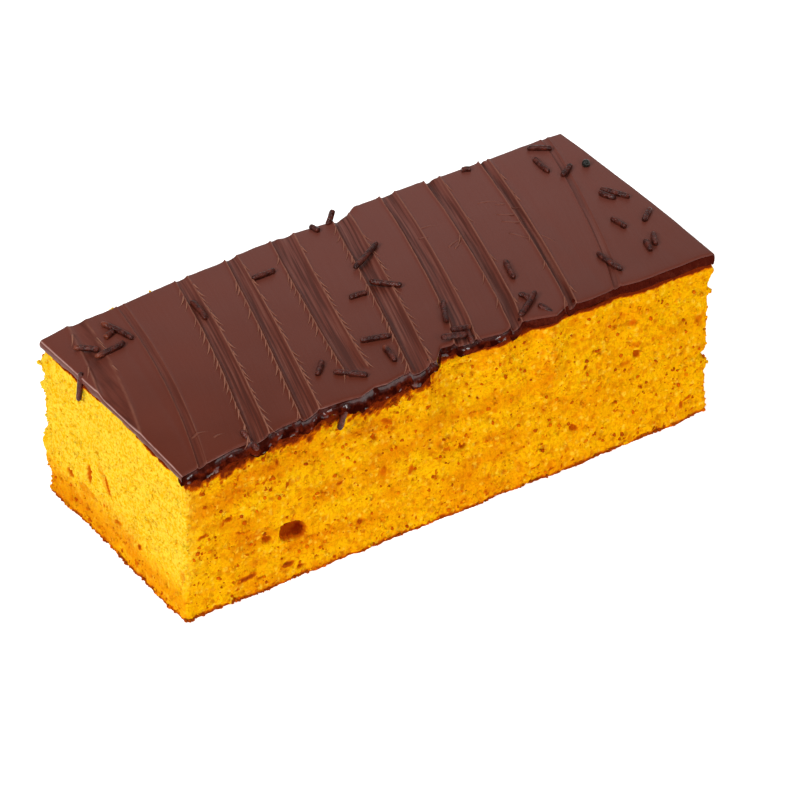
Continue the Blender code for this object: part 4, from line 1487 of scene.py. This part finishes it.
def sponge_material(grain):
    """Moist yellow crumb: mottled gold, paler on the fresh left cut and partly painted light there, with
    painted orange-brown shade in its pores.
    """
    material, tree, shader = new_material("moist carrot sponge")
    place = add_node(tree, "TexCoord").outputs["Object"]
    flat = add_node(tree, "Mapping", {"Vector": place, "Scale": (1.0, 1.0, 2.0)}).outputs["Vector"]
    patches = place_grain(tree, grain, flat, *SPONGE_PATCHES)
    fine = place_grain(tree, grain, place, *SPONGE_GRAIN)
    tone = computed(tree, "MULTIPLY", patches["Tone"], 0.85)
    tone = computed(tree, "MULTIPLY_ADD", fine["Tone"], 0.25, tone)
    tone = spread_over(tree, tone, 0.42, 0.76)
    fresh_and_lit = mask_of(tree, "fresh_and_lit")
    front = blended(tree, tone, SPONGE_FRONT[0], SPONGE_FRONT[1])
    rightward = add_node(tree, "SeparateXYZ", {"Vector": place}).outputs["X"]
    calm = computed(tree, "MULTIPLY", spread_over(tree, rightward, *CALM_SPAN), 0.6)
    front = blended(tree, calm, front, SPONGE_CALM)
    mottled = computed(tree, "MULTIPLY", noise(tree, place, 1500.0, 1.0)["Fac"], 0.65)
    mottled = computed(tree, "MULTIPLY_ADD", fine["Tone"], 0.35, mottled)
    mottled = spread_over(tree, mottled, 0.42, 0.60)
    color = blended(tree, fresh_and_lit, front, blended(tree, mottled, SPONGE_FRESH_AND_LIT[0], SPONGE_FRESH_AND_LIT[1]))
    shaken = noise(tree, place, 900.0, 1.0)["Color"]
    shaken = add_node(tree, "Mapping", {"Vector": shaken, "Scale": (0.0014,) * 3})
    shaken = add_node(tree, "VectorMath", {0: place, 1: shaken.outputs["Vector"]}, operation="ADD")
    shaken = shaken.outputs["Vector"]
    # Away from the left cut's paler, partly painted-light colour, the dots and dips show in full
    off_fresh_lit_cut = computed(tree, "MULTIPLY_ADD", fresh_and_lit, -0.9, 1.0)
    for scale, rare, weight, tint in CRUMB_DOTS:
        dots = add_node(tree, "TexVoronoi", {"Vector": shaken, "Scale": scale}, feature="F1")
        dot = spread_over(tree, dots.outputs["Distance"], 0.55, 0.14)
        chosen = add_node(tree, "SeparateColor", {"Color": dots.outputs["Color"]}).outputs["Red"]
        if tint == SPECK_COLOR:
            chosen = computed(tree, "MULTIPLY_ADD", mask_of(tree, "speckled"), 0.4, chosen)
        dot = computed(tree, "MULTIPLY", dot, spread_over(tree, chosen, rare, rare + 0.2))
        if tint != CRUMB_PALE:
            dot = computed(tree, "MULTIPLY", dot, off_fresh_lit_cut)
        color = blended(tree, computed(tree, "MULTIPLY", dot, weight), color, tint)
    # Painted shade in the dips of the fine grain, orange, mostly off the left cut
    dip_shade = computed(tree, "MULTIPLY", spread_over(tree, fine["Height"], 0.56, 0.30), 0.35)
    color = blended(tree, computed(tree, "MULTIPLY", dip_shade, off_fresh_lit_cut), color, ORANGE_AND_PORE_SHADE[0])
    # Painted shade in the pores: orange, then deep brown where they are deepest
    pit = mask_of(tree, "pit")
    color = tinted(tree, color, pit, 0.05, 0.45, ORANGE_AND_PORE_SHADE[0])
    color = tinted(tree, color, pit, 0.5, 1.0, ORANGE_AND_PORE_SHADE[1])
    browned = mask_of(tree, "browned")
    color = tinted(tree, color, browned, 0.0, 0.5, ORANGE_AND_PORE_SHADE[0])
    color = tinted(tree, color, browned, 0.4, 1.0, BROWNED)
    shader.inputs["Subsurface Weight"].default_value = GLOW_WEIGHT
    shader.inputs["Subsurface Radius"].default_value = GLOW_RADIUS
    shader.inputs["Subsurface Scale"].default_value = GLOW_SCALE
    normal = bump(tree, fine["Height"], *SPONGE_BUMP)
    finish_shader(tree, shader, color, normal, SPONGE_ROUGHNESS, NO_SHINE)
    return material


def icing_material(grain):
    """Set chocolate: satin bands with lengthwise spatula streaks, a painted sheen towards the back
    right, and painted highlights on thin crests and rims.
    """
    material, tree, shader = new_material("satin chocolate icing")
    place = add_node(tree, "TexCoord").outputs["Object"]
    spread = add_node(tree, "Attribute", attribute_name="spread").outputs["Vector"]
    streaked = add_node(tree, "Mapping", {"Vector": spread, "Scale": (1.6, 0.04, 1.6)})
    streaks = noise(tree, streaked.outputs["Vector"], 1.0, 3.0)["Fac"]
    soft = place_grain(tree, grain, place, *ICING_PATCHES)
    fine = place_grain(tree, grain, place, *ICING_GRAIN)
    color = blended(tree, spread_over(tree, soft["Tone"], 0.3, 0.7), CHOCOLATE[0], CHOCOLATE[1])
    axes = add_node(tree, "SeparateXYZ", {"Vector": place}).outputs
    # A painted sheen that grows towards the right and the back
    rightward = spread_over(tree, axes["X"], *SHEEN_SPAN_X)
    backward = computed(tree, "MULTIPLY", spread_over(tree, axes["Y"], *SHEEN_SPAN_Y), 0.5)
    sheen = computed(tree, "MULTIPLY_ADD", rightward, 0.35, backward)
    color = blended(tree, sheen, color, CHOCOLATE_SHEEN)
    groove = mask_of(tree, "groove")
    dark = computed(tree, "MULTIPLY", spread_over(tree, streaks, 0.44, 0.60), groove)
    color = blended(tree, computed(tree, "MULTIPLY", dark, 0.8), color, CHANNEL_STREAK)
    light = computed(tree, "MULTIPLY", spread_over(tree, streaks, 0.46, 0.36), groove)
    color = blended(tree, computed(tree, "MULTIPLY", light, 0.35), color, CHANNEL_LIGHT)
    # Painted highlights on the thin crests, fainter towards the right
    crest = spread_over(tree, mask_of(tree, "crest"), 0.22, 0.9)
    kept = computed(tree, "MULTIPLY_ADD", rightward, -0.32, 0.75)
    color = blended(tree, computed(tree, "MULTIPLY", crest, kept), color, CREST_HIGHLIGHT)
    # A painted highlight along the rims
    color = tinted(tree, color, mask_of(tree, "rim"), 0.3, 0.9, RIM_HIGHLIGHT)
    low, high = ICING_ROUGHNESS
    rough = add_node(tree, "MapRange", {"Value": streaks, "To Min": low, "To Max": high})
    normal = bump(tree, streaks, *STREAK_BUMP)
    normal = bump(tree, fine["Height"], *ICING_BUMP, normal)
    finish_shader(tree, shader, color, normal, rough.outputs["Result"], ICING_SHINE)
    return material


def lip_material(grain):
    """Chocolate that the knife dragged over the cut: nearly black, wet on its roll, ragged below."""
    material, tree, shader = new_material("wet chocolate lip")
    place = add_node(tree, "TexCoord").outputs["Object"]
    soft = place_grain(tree, grain, place, *LIP_PATCHES)
    fine = place_grain(tree, grain, place, *LIP_GRAIN)
    tone = spread_over(tree, soft["Tone"], 0.4, 0.7)
    color = blended(tree, tone, LIP_DRY[0], LIP_DRY[1])
    wet = spread_over(tree, mask_of(tree, "wet"), 0.2, 0.8)
    color = blended(tree, wet, color, blended(tree, tone, LIP_WET[0], LIP_WET[1]))
    ragged = spread_over(tree, mask_of(tree, "ragged"), 0.2, 0.8)
    color = blended(tree, ragged, color, blended(tree, tone, LIP_RAGGED[0], LIP_RAGGED[1]))
    spots = noise(tree, place, 480.0, 1.5)["Fac"]
    shiny = computed(tree, "MULTIPLY", wet, spread_over(tree, spots, 0.40, 0.52))
    glint = computed(tree, "MULTIPLY", ragged, spread_over(tree, spots, 0.60, 0.66))
    tree.links.new(computed(tree, "MAXIMUM", shiny, glint), shader.inputs["Coat Weight"])
    shader.inputs["Coat Roughness"].default_value = LIP_COAT_ROUGHNESS
    normal = bump(tree, soft["Height"], *LIP_LUMP_BUMP)
    normal = bump(tree, fine["Height"], *LIP_BUMP, normal)
    finish_shader(tree, shader, color, normal, LIP_ROUGHNESS, NO_SHINE)
    return material


def sprinkle_material(grain, name, dark, light, rough):
    """Pressed chocolate with a low polish over a grainy skin, some ends painted orange-red with light
    they pick up.
    """
    material, tree, shader = new_material(name)
    place = add_node(tree, "TexCoord").outputs["Object"]
    soft = place_grain(tree, grain, place, *SPRINKLE_SKIN)
    color = blended(tree, spread_over(tree, soft["Tone"], 0.35, 0.68), dark, light)
    # Painted orange-red light at some ends
    color = blended(tree, mask_of(tree, "end_glow"), color, END_GLOW_COLOR)
    normal = bump(tree, soft["Height"], *SPRINKLE_BUMP)
    finish_shader(tree, shader, color, normal, rough, SPRINKLE_SHINE)
    return material


# ---- The studio


def lay_floor():
    """A wide white floor under the slab."""
    bpy.ops.mesh.primitive_plane_add(size=FLOOR_SIZE)
    floor = bpy.context.object
    floor.name = "floor"
    material, _, shader = new_material("white floor")
    shader.inputs["Base Color"].default_value = FLOOR_COLOR
    shader.inputs["Roughness"].default_value = 0.6
    shader.inputs["Emission Color"].default_value = (1.0, 1.0, 1.0, 1.0)
    shader.inputs["Emission Strength"].default_value = FLOOR_GLOW
    floor.data.materials.append(material)


def aimed_light(name, place, size, power):
    """A square area light at a place in metres, aimed at the slab."""
    data = bpy.data.lights.new(name, "AREA")
    data.shape = "SQUARE"
    data.size = size
    data.energy = power
    light = bpy.data.objects.new(name, data)
    light.location = place
    aim = Vector(LIGHT_AIM) - Vector(place)
    light.rotation_euler = aim.to_track_quat("-Z", "Y").to_euler()
    bpy.context.scene.collection.objects.link(light)


def light_studio():
    """White surroundings, a key from the left, a soft box above, one behind and a fill in front."""
    world = bpy.data.worlds.new("studio")
    world.use_nodes = True
    world.node_tree.nodes["Background"].inputs["Color"].default_value = (1.0, 1.0, 1.0, 1.0)
    world.node_tree.nodes["Background"].inputs["Strength"].default_value = WORLD_STRENGTH
    bpy.context.scene.world = world
    for name, place, size, power in LIGHTS:
        aimed_light(name, place, size, power)
    bpy.context.scene.view_settings.view_transform = "Standard"


def set_camera():
    """The camera that sees the slab from its front left, well above it."""
    data = bpy.data.cameras.new("camera")
    data.sensor_width = 36.0
    data.lens = CAMERA_LENS
    data.clip_start = 0.05
    camera = bpy.data.objects.new("camera", data)
    camera.location = np.array(CAMERA_PLACE) * MM
    camera.rotation_euler = (math.radians(90.0 - CAMERA_DOWN), 0.0, -math.radians(CAMERA_RIGHT))
    bpy.context.scene.collection.objects.link(camera)
    bpy.context.scene.camera = camera


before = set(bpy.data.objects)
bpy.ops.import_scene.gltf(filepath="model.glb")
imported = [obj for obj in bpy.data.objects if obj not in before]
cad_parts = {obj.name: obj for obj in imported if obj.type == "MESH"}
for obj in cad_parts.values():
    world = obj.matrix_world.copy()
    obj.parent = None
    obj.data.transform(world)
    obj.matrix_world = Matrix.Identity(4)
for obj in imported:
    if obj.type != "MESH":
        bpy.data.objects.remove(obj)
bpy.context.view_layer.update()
set_camera()
lay_floor()
light_studio()

grain = group_grain()
crumb = sponge_material(grain)
satin = icing_material(grain)
sides, side_normals, side_masks = bake_sponge(crumb)
scatter_crumbs(sides, side_normals, side_masks, crumb)
spread_icing(satin)
push_barbs(satin)
hang_lip(lip_material(grain))
strew_sprinkles(sprinkle_material(grain, "chocolate sprinkles", *SPRINKLE_COLORS, SPRINKLE_ROUGHNESS))
drop_sugar_ball(sprinkle_material(grain, "dark sugar ball", *BALL_COLORS, BALL_ROUGHNESS))
